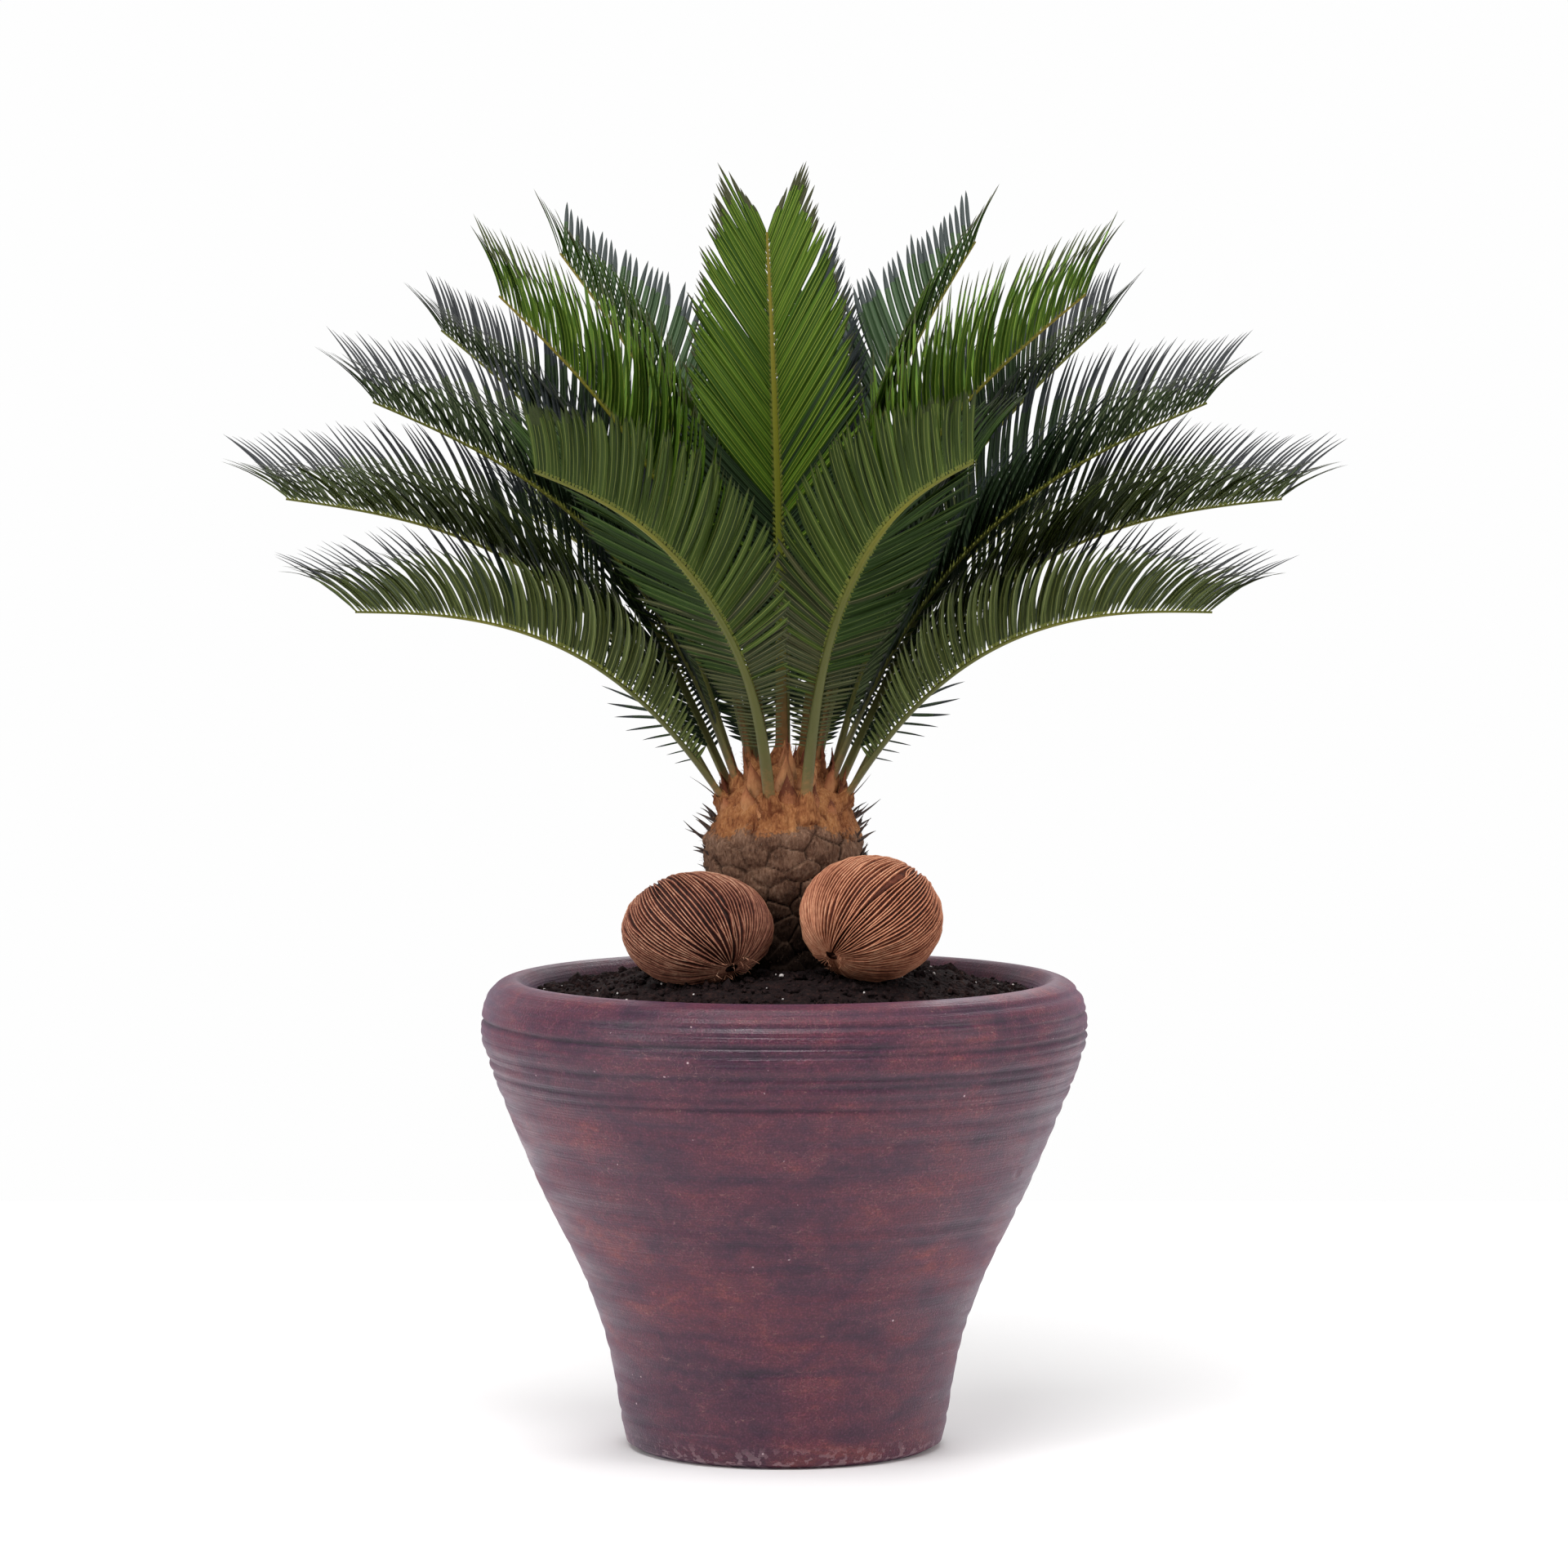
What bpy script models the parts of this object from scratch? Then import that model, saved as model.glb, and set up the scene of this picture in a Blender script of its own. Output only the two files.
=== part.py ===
"""Sago palm in a turned terracotta pot, with two dried fibrous husks on the soil before its trunk.

Metres, +Z up. The origin is the centre of the pot's flat underside, and the plant's front faces -Y.
The palm is a squat scaly trunk that carries stiff feather-shaped fronds in four rings of leaf bases.
"""

import math
from collections import namedtuple

import bmesh
import bpy
from mathutils import Vector
from mathutils.bvhtree import BVHTree

MM = 0.001
GAP = 0.3 * MM
MERGE_DISTANCE = 0.01 * MM
SHARP_ANGLE = math.radians(40.0)

# Pot: radius and height in mm of the points that its turned wall runs through
POT_SEGMENTS = 52
POT_FLOOR = 18.0
POT_FLOOR_RADIUS = 84.0
POT_INSIDE = (
    (88, 24),
    (97, 64),
    (116, 119),
    (141, 173),
    (164, 233),
    (168.5, 272),
    (168, 297),
)
POT_LIP = (
    (171, 306),
    (178, 311),
    (189, 307.5),
    (197, 297),
    (200, 279),
    (198.4, 266),
)
POT_OUTSIDE = (
    (187, 233),
    (160.8, 173),
    (135.2, 119),
    (115.9, 64),
    (107, 15),
)
POT_FOOT = ((104.5, 4), (97, 0))

# Soil: it meets the wall a little below the lip and rises to a low mound round the trunk
SOIL_EDGE_HEIGHT = 299.0
SOIL_TOP_HEIGHT = 318.0
MOUND_TOP_RADIUS = 72.0
MOUND_RINGS = 6

# Husks: centre, half sizes along X, Y and Z, and the way their fibre pole faces, in mm
HUSKS = (
    ("husk_left", (-56, -70, 349), (47, 36, 36), (0.47, -0.60, -0.65)),
    ("husk_right", (56.5, -74, 356.5), (45, 37, 39.5), (-0.58, -0.58, -0.57)),
)
HUSK_SEGMENTS = 20
HUSK_RINGS = 12
HUSK_WAIST_SWELL = 0.03

# Trunk: radius and height in mm up its side, from the flat foot to the dome between the fronds
TRUNK_SEGMENTS = 24
TRUNK_SIDE = (
    (32, 0.3),
    (35, 12),
    (39, 25),
    (43.5, 38),
    (48, 51),
    (50.5, 64),
    (51.5, 77),
    (50.5, 88),
    (46.5, 96),
    (43.5, 104),
    (40, 111),
    (34, 118),
    (26, 126),
    (16, 132),
)
TRUNK_DOME_TOP = 135.0
SCALE_RELIEF = 2.2 * MM
SCALE_ZONE_TOP = 95.0

# Leaf bases: each ring's radius and the height above the pot's underside where fronds are seated
RINGS = {
    "outer": (42.0, 431.0),
    "middle": (33.0, 443.0),
    "inner": (22.0, 454.0),
    "heart": (8.0, 461.0),
}
BASE_ROOT_DEPTH = 20.0 * MM
BASE_ROOT_RADIUS = 7.5 * MM
BASE_SEAT_RADIUS = 5.2 * MM
BASE_SIDES = 6

# Fronds: ring, azimuth of the seat, azimuth the frond turns to, lift at the seat and at the tip
# (degrees above the horizontal), rib length in mm and kind of leaflets. Azimuth 0 is +X and -90
# faces the front.
Frond = namedtuple("Frond", "name ring seat_azimuth end_azimuth base_lift tip_lift length leaflets")
FRONDS = (
    Frond("frond_front_left", "outer", -103, -128, 66, 15, 352, "short"),
    Frond("frond_front_right", "outer", -70, -61, 76, 15, 336, "short"),
    Frond("frond_centre", "heart", 101, 110, 88, 82, 343, "close"),
    Frond("frond_left_1", "outer", -162, -170, 53, 1, 287, "low"),
    Frond("frond_right_1", "outer", -18, -10, 55, -1, 289, "low"),
    Frond("frond_left_2", "outer", 176, -176, 61, 8, 365, "side"),
    Frond("frond_right_2", "outer", 4, -4, 63, 6, 368, "side"),
    Frond("frond_left_3", "middle", -163, 177, 69, 23, 358, "fine"),
    Frond("frond_right_3", "middle", -17, 3, 67, 23, 362, "fine"),
    Frond("frond_left_4", "middle", 162, 163, 72, 38, 368, "thin"),
    Frond("frond_right_4", "middle", 18, 20, 74, 40, 366, "thin"),
    Frond("frond_left_5", "inner", 180, -170, 79, 44, 356, "long"),
    Frond("frond_right_5", "inner", 0, -10, 81, 39, 366, "long"),
    Frond("frond_left_6", "inner", 125, 140, 77, 45, 392, "tall"),
    Frond("frond_right_6", "inner", 55, 42, 80, 50, 386, "tall"),
    Frond("frond_back_low_1", "outer", 144, 124, 60, 12, 325, "fine"),
    Frond("frond_back_low_2", "outer", 108, 102, 58, 2, 340, "fine"),
    Frond("frond_back_low_3", "outer", 72, 80, 58, 4, 335, "fine"),
    Frond("frond_back_low_4", "outer", 36, 57, 60, 12, 325, "fine"),
    Frond("frond_back_mid_1", "middle", 126, 118, 68, 26, 360, "long"),
    Frond("frond_back_mid_2", "middle", 90, 91, 69, 20, 370, "long"),
    Frond("frond_back_mid_3", "middle", 54, 64, 68, 27, 360, "long"),
    Frond("frond_back_high", "inner", 90, 84, 78, 48, 350, "long"),
)
# Degrees by which a frond's two ranks of leaflets are turned about its rib, at the seat and
# further out, and by which both lie flatter, and the share of that which fades towards the tip
Turn = namedtuple("Turn", "at_seat leafy flatter fading")
STRAIGHT = Turn(0, 0, 0, 0.0)
FROND_TURNS = {
    "frond_front_left": Turn(0, -26, 27, 1.0),
    "frond_front_right": Turn(0, 26, 27, 1.0),
    "frond_centre": Turn(10, 22, 0, 0.0),
    "frond_left_1": Turn(-52, 8, 14, 0.0),
    "frond_right_1": Turn(52, -8, 14, 0.0),
    "frond_left_2": Turn(-20, 18, 14, 0.0),
    "frond_right_2": Turn(20, -18, 14, 0.0),
    "frond_left_3": Turn(0, 20, 4, 0.0),
    "frond_right_3": Turn(0, -22, 4, 0.0),
    "frond_left_4": Turn(0, 20, 0, 0.0),
    "frond_right_4": Turn(0, -20, 0, 0.0),
    "frond_left_5": Turn(0, 16, 0, 0.0),
    "frond_right_5": Turn(0, -16, 0, 0.0),
    "frond_left_6": Turn(0, -8, 0, 0.0),
    "frond_right_6": Turn(0, 6, 4, 0.0),
}
TURN_FADES_FROM = 0.45
TURN_FADES_OVER = 0.3
TURNED_BY = 0.4
RIB_STEPS = 27
BARE_STEPS = 3
RIB_WIDTH_AT_SEAT = 9.0 * MM
RIB_WIDTH_MIDWAY = 4.6 * MM
RIB_WIDTH_AT_TIP = 1.8 * MM
RIB_THICKNESS_AT_SEAT = 6.0 * MM
RIB_THICKNESS_AT_TIP = 1.8 * MM

# Leaflets, drawn here as one blade for about three real ones
LEAFLET_THICKNESS = 1.2 * MM
SPINE_SHARE = 0.16
# Full length in mm, share of it left at the tip, and angles to the rib at seat, midway and tip
Leaflets = namedtuple("Leaflets", "length tip_share at_seat midway at_tip")
LEAFLET_KINDS = {
    "short": Leaflets(76, 0.80, 80.0, 37.0, 28.0),
    "close": Leaflets(98, 0.68, 80.0, 37.0, 29.0),
    "low": Leaflets(86, 0.80, 70.0, 46.0, 25.0),
    "side": Leaflets(96, 0.64, 64.0, 32.0, 26.0),
    "fine": Leaflets(96, 0.62, 64.0, 34.0, 22.0),
    "thin": Leaflets(88, 0.52, 64.0, 34.0, 22.0),
    "long": Leaflets(100, 0.60, 80.0, 37.0, 20.0),
    "tall": Leaflets(88, 0.50, 80.0, 36.0, 25.0),
}
MORE_ANGLE_WHERE_LEVEL = 16.0
RAISE_AT_SEAT = -8.0
RAISE_WHERE_UPRIGHT = 28.0
MORE_RAISE_WHERE_LEVEL = 34.0
RAISED_BY = 0.4
FULL_LENGTH_BY = 0.38
LEAFLET_CLEARANCE = 1.0 * MM
LEAFLET_TRIES = (1.0, 0.82, 0.64, 0.48, 0.34)

COLOURS = {
    "pot": (0.155, 0.060, 0.063),
    "soil": (0.012, 0.008, 0.006),
    "husk": (0.210, 0.095, 0.055),
    "trunk": (0.165, 0.095, 0.055),
    "frond": (0.035, 0.075, 0.018),
}
ROUGHNESS = {"pot": 0.5, "soil": 0.95, "husk": 0.75, "trunk": 0.9, "frond": 0.45}


def clear_scene():
    """Empties the scene, whatever it holds."""
    for thing in list(bpy.data.objects):
        bpy.data.objects.remove(thing, do_unlink=True)


def new_collection(name):
    """A collection of the scene."""
    collection = bpy.data.collections.new(name)
    bpy.context.scene.collection.children.link(collection)
    return collection


def new_material(name):
    """A plain Principled material in the colour of one kind of piece."""
    material = bpy.data.materials.new(name)
    material.use_nodes = True
    shader = material.node_tree.nodes["Principled BSDF"]
    shader.inputs["Base Color"].default_value = (*COLOURS[name], 1.0)
    shader.inputs["Roughness"].default_value = ROUGHNESS[name]
    return material


def add_object(name, mesh, collection, material=None):
    """Puts a mesh in the scene as an object, shaded smooth but for its sharp edges."""
    thing = bpy.data.objects.new(name, mesh)
    collection.objects.link(thing)
    if material is not None:
        mesh.materials.append(material)
    mesh.shade_smooth()
    mesh.set_sharp_from_angle(angle=SHARP_ANGLE)
    return thing


def ease(share):
    """0 to 1 with a slow start and a slow end."""
    share = min(max(share, 0.0), 1.0)
    return share * share * (3.0 - 2.0 * share)


def blend(first, second, share):
    """The value that lies at a share of the way from first to second."""
    return first + (second - first) * share


def three_way(share, start, midway, end):
    """A value eased from start to midway over the first half, and on to end over the second."""
    if share < 0.5:
        return blend(start, midway, ease(share * 2.0))
    return blend(midway, end, ease(share * 2.0 - 1.0))


def smooth_line(points, per_span):
    """Points along a Catmull-Rom curve that runs through the given (radius, height) points."""
    line = []
    for i in range(len(points) - 1):
        before = Vector(points[max(i - 1, 0)])
        here = Vector(points[i])
        there = Vector(points[i + 1])
        after = Vector(points[min(i + 2, len(points) - 1)])
        for k in range(per_span):
            t = k / per_span
            bend = 2.0 * before - 5.0 * here + 4.0 * there - after
            twist = 3.0 * here - before - 3.0 * there + after
            point = here + ((there - before) * t + bend * t * t + twist * t * t * t) / 2.0
            line.append(tuple(point))
    line.append(points[-1])
    return line


def turned_mesh(name, profile, segments):
    """Turns a (radius, height) profile in mm round Z. The profile runs down its outer side."""
    outline = bpy.data.meshes.new(name + "_profile")
    edges = [(i, i + 1) for i in range(len(profile) - 1)]
    outline.from_pydata([(r * MM, 0.0, z * MM) for r, z in profile], edges, [])
    guide = bpy.data.objects.new(name + "_profile", outline)
    bpy.context.scene.collection.objects.link(guide)
    screw = guide.modifiers.new("turn", "SCREW")
    screw.axis = "Z"
    screw.angle = math.tau
    screw.steps = segments
    screw.render_steps = segments
    screw.use_merge_vertices = True
    screw.merge_threshold = MERGE_DISTANCE
    depsgraph = bpy.context.evaluated_depsgraph_get()
    mesh = bpy.data.meshes.new_from_object(guide.evaluated_get(depsgraph))
    mesh.name = name
    bpy.data.objects.remove(guide)
    return mesh


def pot_profile():
    """The pot's section: floor, inner wall, rolled lip, outer wall, foot and underside."""
    outside = smooth_line((POT_INSIDE[-1],) + POT_LIP + POT_OUTSIDE, 2)[1:]
    floor = [(0.0, POT_FLOOR), (POT_FLOOR_RADIUS, POT_FLOOR)]
    return floor + list(POT_INSIDE) + outside + list(POT_FOOT) + [(0.0, 0.0)]


def soil_surface(radius):
    """Height of the potting mix at a distance from the pot's axis, in mm."""
    edge_radius, _ = POT_INSIDE[-1]
    share = (radius - MOUND_TOP_RADIUS) / (edge_radius - MOUND_TOP_RADIUS)
    return blend(SOIL_TOP_HEIGHT, SOIL_EDGE_HEIGHT, ease(share))


def soil_profile():
    """The section of the potting mix: the mound, then down the pot's inner wall, and its floor."""
    gap = GAP / MM
    edge_radius = POT_INSIDE[-1][0] - gap
    top = [(0.0, SOIL_TOP_HEIGHT)]
    for i in range(MOUND_RINGS + 1):
        radius = blend(MOUND_TOP_RADIUS, edge_radius, i / MOUND_RINGS)
        top.append((radius, soil_surface(radius)))
    down = [(r - gap, z) for r, z in reversed(POT_INSIDE[:-1])]
    floor = POT_FLOOR + gap
    return top + down + [(POT_FLOOR_RADIUS - gap, floor), (0.0, floor)]


def husk_mesh(name, centre, half_sizes, pole, grow=0.0):
    """An egg-shaped husk whose meridians gather at its fibre pole."""
    mesh = bpy.data.meshes.new(name)
    bm = bmesh.new()
    bmesh.ops.create_uvsphere(bm, u_segments=HUSK_SEGMENTS, v_segments=HUSK_RINGS, radius=1.0)
    turn = Vector((0.0, 0.0, 1.0)).rotation_difference(Vector(pole))
    for vert in bm.verts:
        swell = 1.0 + HUSK_WAIST_SWELL * (1.0 - vert.co.z * vert.co.z)
        way = turn @ vert.co
        size = [(half * swell + grow / MM) for half in half_sizes]
        place = [c + w * s for c, w, s in zip(centre, way, size)]
        vert.co = Vector(place) * MM
    bm.to_mesh(mesh)
    bm.free()
    return mesh


def cut(target, cutter):
    """Takes a cutter's shape out of a solid."""
    boolean = target.modifiers.new("cut " + cutter.name, "BOOLEAN")
    boolean.operation = "DIFFERENCE"
    boolean.object = cutter


def trunk_core_mesh():
    """The trunk's bulb, whose old leaf scales stand out as rows of low diamond-shaped knobs."""
    side = [(r, SOIL_TOP_HEIGHT + z) for r, z in reversed(TRUNK_SIDE)]
    top = SOIL_TOP_HEIGHT + TRUNK_DOME_TOP
    foot = side[-1][1]
    mesh = turned_mesh("trunk", [(0.0, top)] + side + [(0.0, foot)], TRUNK_SEGMENTS)
    heights = [z for _, z in side]
    for vert in mesh.vertices:
        height = vert.co.z / MM
        row = min(range(len(heights)), key=lambda i: abs(heights[i] - height))
        scaly = 0 < row < len(heights) - 1 and height < SOIL_TOP_HEIGHT + SCALE_ZONE_TOP
        column = round(math.atan2(vert.co.y, vert.co.x) / math.tau * TRUNK_SEGMENTS)
        if scaly and (row + column) % 2 == 0:
            outward = Vector((vert.co.x, vert.co.y, 0.0)).normalized()
            vert.co += outward * SCALE_RELIEF
    return mesh


def seat_of(frond):
    """Where a frond's stalk leaves its leaf base."""
    radius, height = RINGS[frond.ring]
    azimuth = math.radians(frond.seat_azimuth)
    return Vector((radius * math.cos(azimuth), radius * math.sin(azimuth), height)) * MM


def heading_at(frond, share):
    """The way a frond's rib runs at a share of its length."""
    turn = (frond.end_azimuth - frond.seat_azimuth + 180.0) % 360.0 - 180.0
    azimuth = math.radians(frond.seat_azimuth + turn * ease(share / TURNED_BY))
    lift = math.radians(blend(frond.base_lift, frond.tip_lift, ease(share)))
    level = Vector((math.cos(azimuth), math.sin(azimuth), 0.0))
    return level * math.cos(lift) + Vector((0.0, 0.0, math.sin(lift)))


def rib_stations(frond):
    """Points along a frond's rib, each with its forward, sideways and upward directions."""
    length = frond.length * MM
    place = seat_of(frond)
    stations = []
    for i in range(RIB_STEPS + 1):
        share = i / RIB_STEPS
        forward = heading_at(frond, share)
        azimuth = math.atan2(forward.y, forward.x)
        side = Vector((math.sin(azimuth), -math.cos(azimuth), 0.0))
        stations.append((place.copy(), forward, side, side.cross(forward)))
        place += heading_at(frond, share + 0.5 / RIB_STEPS) * length / RIB_STEPS
    return stations


def rib_width(share):
    """Width of the rib: a stout stalk at the seat, then a long taper to the tip."""
    return three_way(share, RIB_WIDTH_AT_SEAT, RIB_WIDTH_MIDWAY, RIB_WIDTH_AT_TIP)


def rib_thickness(share):
    """Depth of the rib from its upper to its lower side."""
    return blend(RIB_THICKNESS_AT_SEAT, RIB_THICKNESS_AT_TIP, math.sqrt(share))


def leafy_share(step):
    """How far along the leafy part of a rib the middle of a step lies."""
    return (step + 0.5 - BARE_STEPS) / (RIB_STEPS - BARE_STEPS)


def leaflet_tip(frond, station, root, step, hand):
    """The tip of the leaflet on one side of a step. hand is 1 on the right and -1 on the left."""
    share = leafy_share(step)
    kind = LEAFLET_KINDS[frond.leaflets]
    turned = FROND_TURNS.get(frond.name, STRAIGHT)
    length = kind.length * MM * blend(SPINE_SHARE, 1.0, ease(share / FULL_LENGTH_BY))
    length *= blend(1.0, kind.tip_share, ease(share * 2.0 - 1.0))
    _, forward, side, up = station
    level = math.hypot(forward.x, forward.y)
    angle = three_way(share, kind.at_seat, kind.midway, kind.at_tip)
    angle = math.radians(angle + MORE_ANGLE_WHERE_LEVEL * level * ease(share / RAISED_BY))
    kept = 1.0 - turned.fading * ease((share - TURN_FADES_FROM) / TURN_FADES_OVER)
    raised = RAISE_WHERE_UPRIGHT + MORE_RAISE_WHERE_LEVEL * level - turned.flatter * kept
    lift = blend(RAISE_AT_SEAT, raised, ease(share / RAISED_BY))
    lift += blend(turned.at_seat, turned.leafy, ease(share / RAISED_BY)) * hand * kept
    lift = math.radians(lift)
    outward = side * hand * math.cos(lift) + up * math.sin(lift)
    return root + (forward * math.cos(angle) + outward * math.sin(angle)) * length


def thick_triangle(corners, half_thicknesses, spread=0.0):
    """Points and faces of a flat triangle with a thickness at each corner, spread by a margin."""
    middle = (corners[0] + corners[1] + corners[2]) / 3.0
    normal = (corners[1] - corners[0]).cross(corners[2] - corners[0]).normalized()
    wide = [c + (c - middle).normalized() * spread for c in corners]
    deep = [half + spread for half in half_thicknesses]
    points = [c + normal * d for c, d in zip(wide, deep)]
    points += [c - normal * d for c, d in zip(wide, deep)]
    faces = [(0, 1, 2), (3, 5, 4), (0, 3, 4, 1), (1, 4, 5, 2), (2, 5, 3, 0)]
    return points, faces


class Crowd:
    """Faces of what has been placed, to keep the next leaflets clear of it."""

    def __init__(self):
        self.points = []
        self.faces = []

    def add(self, points, faces):
        """Takes in the faces of one more shape."""
        start = len(self.points)
        self.points.extend(points)
        self.faces.extend(tuple(start + i for i in face) for face in faces)

    def tree(self, *others):
        """A search tree of this crowd and others."""
        joined = Crowd()
        for crowd in (self, *others):
            joined.add(crowd.points, crowd.faces)
        return BVHTree.FromPolygons(joined.points, joined.faces)


def rib_crowd(stations):
    """A frond's rib as a square-edged bar."""
    crowd = Crowd()
    points = []
    for i, (place, _, side, up) in enumerate(stations):
        share = i / RIB_STEPS
        across = side * rib_width(share) / 2.0
        through = up * rib_thickness(share) / 2.0
        points += [
            place - across - through,
            place + across - through,
            place + across + through,
            place - across + through,
        ]
    faces = []
    for i in range(RIB_STEPS):
        for k in range(4):
            faces.append((4 * i + k, 4 * i + (k + 1) % 4, 4 * i + 4 + (k + 1) % 4, 4 * i + 4 + k))
    crowd.add(points, faces)
    return crowd


def rib_edges(stations):
    """The left and right edge points of a rib at each station."""
    edges = {-1: [], 1: []}
    for i, (place, _, side, _) in enumerate(stations):
        for hand in edges:
            edges[hand].append(place + side * hand * rib_width(i / RIB_STEPS) / 2.0)
    return edges


def place_leaflets(frond, stations, others):
    """The tips of a frond's leaflets by step and side, each as long as what is near it allows."""
    edges = rib_edges(stations)
    tips = {}
    placed = Crowd()
    for step in range(BARE_STEPS, RIB_STEPS):
        half_root = rib_thickness(step / RIB_STEPS) / 2.0
        halves = (half_root, half_root, LEAFLET_THICKNESS / 2.0)
        for hand in (-1, 1):
            first, second = edges[hand][step], edges[hand][step + 1]
            root = (first + second) / 2.0
            full = leaflet_tip(frond, stations[step], root, step, hand)
            for share in LEAFLET_TRIES:
                corners = (first, second, root.lerp(full, share))
                shape = thick_triangle(corners, halves, LEAFLET_CLEARANCE)
                if not BVHTree.FromPolygons(*shape).overlap(others):
                    tips[step, hand] = corners[2]
                    placed.add(*thick_triangle(corners, halves))
                    break
    return tips, placed


def frond_mesh(name, stations, tips):
    """A frond as one cut-out blade, with each corner's share of the full thickness as a weight."""
    edges = rib_edges(stations)
    mesh = bpy.data.meshes.new(name)
    points = []
    weights = []
    for i in range(RIB_STEPS + 1):
        weight = thickness_weight(rib_thickness(i / RIB_STEPS))
        points += [edges[-1][i], edges[1][i]]
        weights += [weight, weight]
    faces = [(2 * i, 2 * i + 1, 2 * i + 3, 2 * i + 2) for i in range(RIB_STEPS)]
    for (step, hand), tip in tips.items():
        corner = len(points)
        points.append(tip)
        weights.append(0.0)
        if hand < 0:
            faces.append((2 * step, 2 * step + 2, corner))
        else:
            faces.append((2 * step + 3, 2 * step + 1, corner))
    mesh.from_pydata(points, [], faces)
    return mesh, weights


def thickness_weight(thickness):
    """The weight at which the blade takes a thickness."""
    thickest = RIB_THICKNESS_AT_SEAT - LEAFLET_THICKNESS
    return (thickness - LEAFLET_THICKNESS) / thickest


def add_frond(name, stations, tips, collection, material):
    """A frond as an object: its blade thickened evenly to both sides."""
    mesh, weights = frond_mesh(name, stations, tips)
    thing = add_object(name, mesh, collection, material)
    group = thing.vertex_groups.new(name="thickness")
    for i, weight in enumerate(weights):
        group.add([i], weight, "REPLACE")
    shell = thing.modifiers.new("thickness", "SOLIDIFY")
    shell.thickness = RIB_THICKNESS_AT_SEAT
    shell.offset = 0.0
    shell.vertex_group = "thickness"
    shell.thickness_vertex_group = LEAFLET_THICKNESS / RIB_THICKNESS_AT_SEAT
    return thing


def leaf_base_mesh(frond):
    """The stump that carries one frond: a tapered six-sided prism along the stalk's first run."""
    way = heading_at(frond, 0.0)
    azimuth = math.radians(frond.seat_azimuth)
    side = Vector((math.sin(azimuth), -math.cos(azimuth), 0.0))
    up = side.cross(way)
    seat = seat_of(frond) - way * GAP
    root = seat - way * BASE_ROOT_DEPTH
    mesh = bpy.data.meshes.new(frond.name + "_base")
    bm = bmesh.new()
    bmesh.ops.create_cone(
        bm, cap_ends=True, segments=BASE_SIDES, radius1=BASE_ROOT_RADIUS,
        radius2=BASE_SEAT_RADIUS, depth=BASE_ROOT_DEPTH,
    )
    for vert in bm.verts:
        along = vert.co.z / BASE_ROOT_DEPTH + 0.5
        vert.co = root.lerp(seat, along) + side * vert.co.x + up * vert.co.y
    bm.to_mesh(mesh)
    bm.free()
    return mesh


def add_trunk(collection, material):
    """The trunk: its scaly bulb with one leaf base for each frond, joined into one solid."""
    core = bpy.data.objects.new("trunk", trunk_core_mesh())
    collection.objects.link(core)
    bases = new_collection("leaf bases to join")
    for frond in FRONDS:
        base = bpy.data.objects.new(frond.name + "_base", leaf_base_mesh(frond))
        bases.objects.link(base)
    union = core.modifiers.new("leaf bases", "BOOLEAN")
    union.operation = "UNION"
    union.operand_type = "COLLECTION"
    union.collection = bases
    depsgraph = bpy.context.evaluated_depsgraph_get()
    joined = bpy.data.meshes.new_from_object(core.evaluated_get(depsgraph))
    bpy.data.objects.remove(core)
    for base in list(bases.objects):
        bpy.data.objects.remove(base)
    bpy.data.collections.remove(bases)
    joined.name = "trunk"
    joined.materials.clear()
    return add_object("trunk", joined, collection, material)


def crowd_of(thing):
    """The faces of a finished object."""
    crowd = Crowd()
    points = [vert.co.copy() for vert in thing.data.vertices]
    crowd.add(points, [tuple(face.vertices) for face in thing.data.polygons])
    return crowd


def add_fronds(trunk, collection, material):
    """All fronds. The ribs are laid out first, and then the leaflets grow as far as they can."""
    stations = {frond.name: rib_stations(frond) for frond in FRONDS}
    ribs = {name: rib_crowd(line) for name, line in stations.items()}
    trunk_crowd = crowd_of(trunk)
    leaflets = Crowd()
    for frond in FRONDS:
        line = stations[frond.name]
        other_ribs = [crowd for other, crowd in ribs.items() if other != frond.name]
        tips, placed = place_leaflets(frond, line, leaflets.tree(trunk_crowd, *other_ribs))
        leaflets.add(placed.points, placed.faces)
        add_frond(frond.name, line, tips, collection, material)


def build():
    """The whole object."""
    clear_scene()
    palm = new_collection("sago palm in a pot")
    cutters = new_collection("cutters")
    materials = {name: new_material(name) for name in COLOURS}

    add_object("pot", turned_mesh("pot", pot_profile(), POT_SEGMENTS), palm, materials["pot"])
    soil_mesh = turned_mesh("soil", soil_profile(), POT_SEGMENTS)
    soil = add_object("soil", soil_mesh, palm, materials["soil"])
    for name, centre, half_sizes, pole in HUSKS:
        add_object(name, husk_mesh(name, centre, half_sizes, pole), palm, materials["husk"])
        hollow = husk_mesh(name + "_hollow", centre, half_sizes, pole, grow=GAP)
        cutter = add_object(name + "_hollow", hollow, cutters)
        cutter.hide_render = True
        cutter.display_type = "WIRE"
        cut(soil, cutter)
    trunk = add_trunk(palm, materials["trunk"])
    add_fronds(trunk, palm, materials["frond"])


build()
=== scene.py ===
"""A sago palm in its turned pot, dressed for a studio photograph. Metres, +Z up, front at -Y."""
import math
from collections import namedtuple

import bpy
import numpy as np
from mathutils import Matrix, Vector, noise


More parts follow.
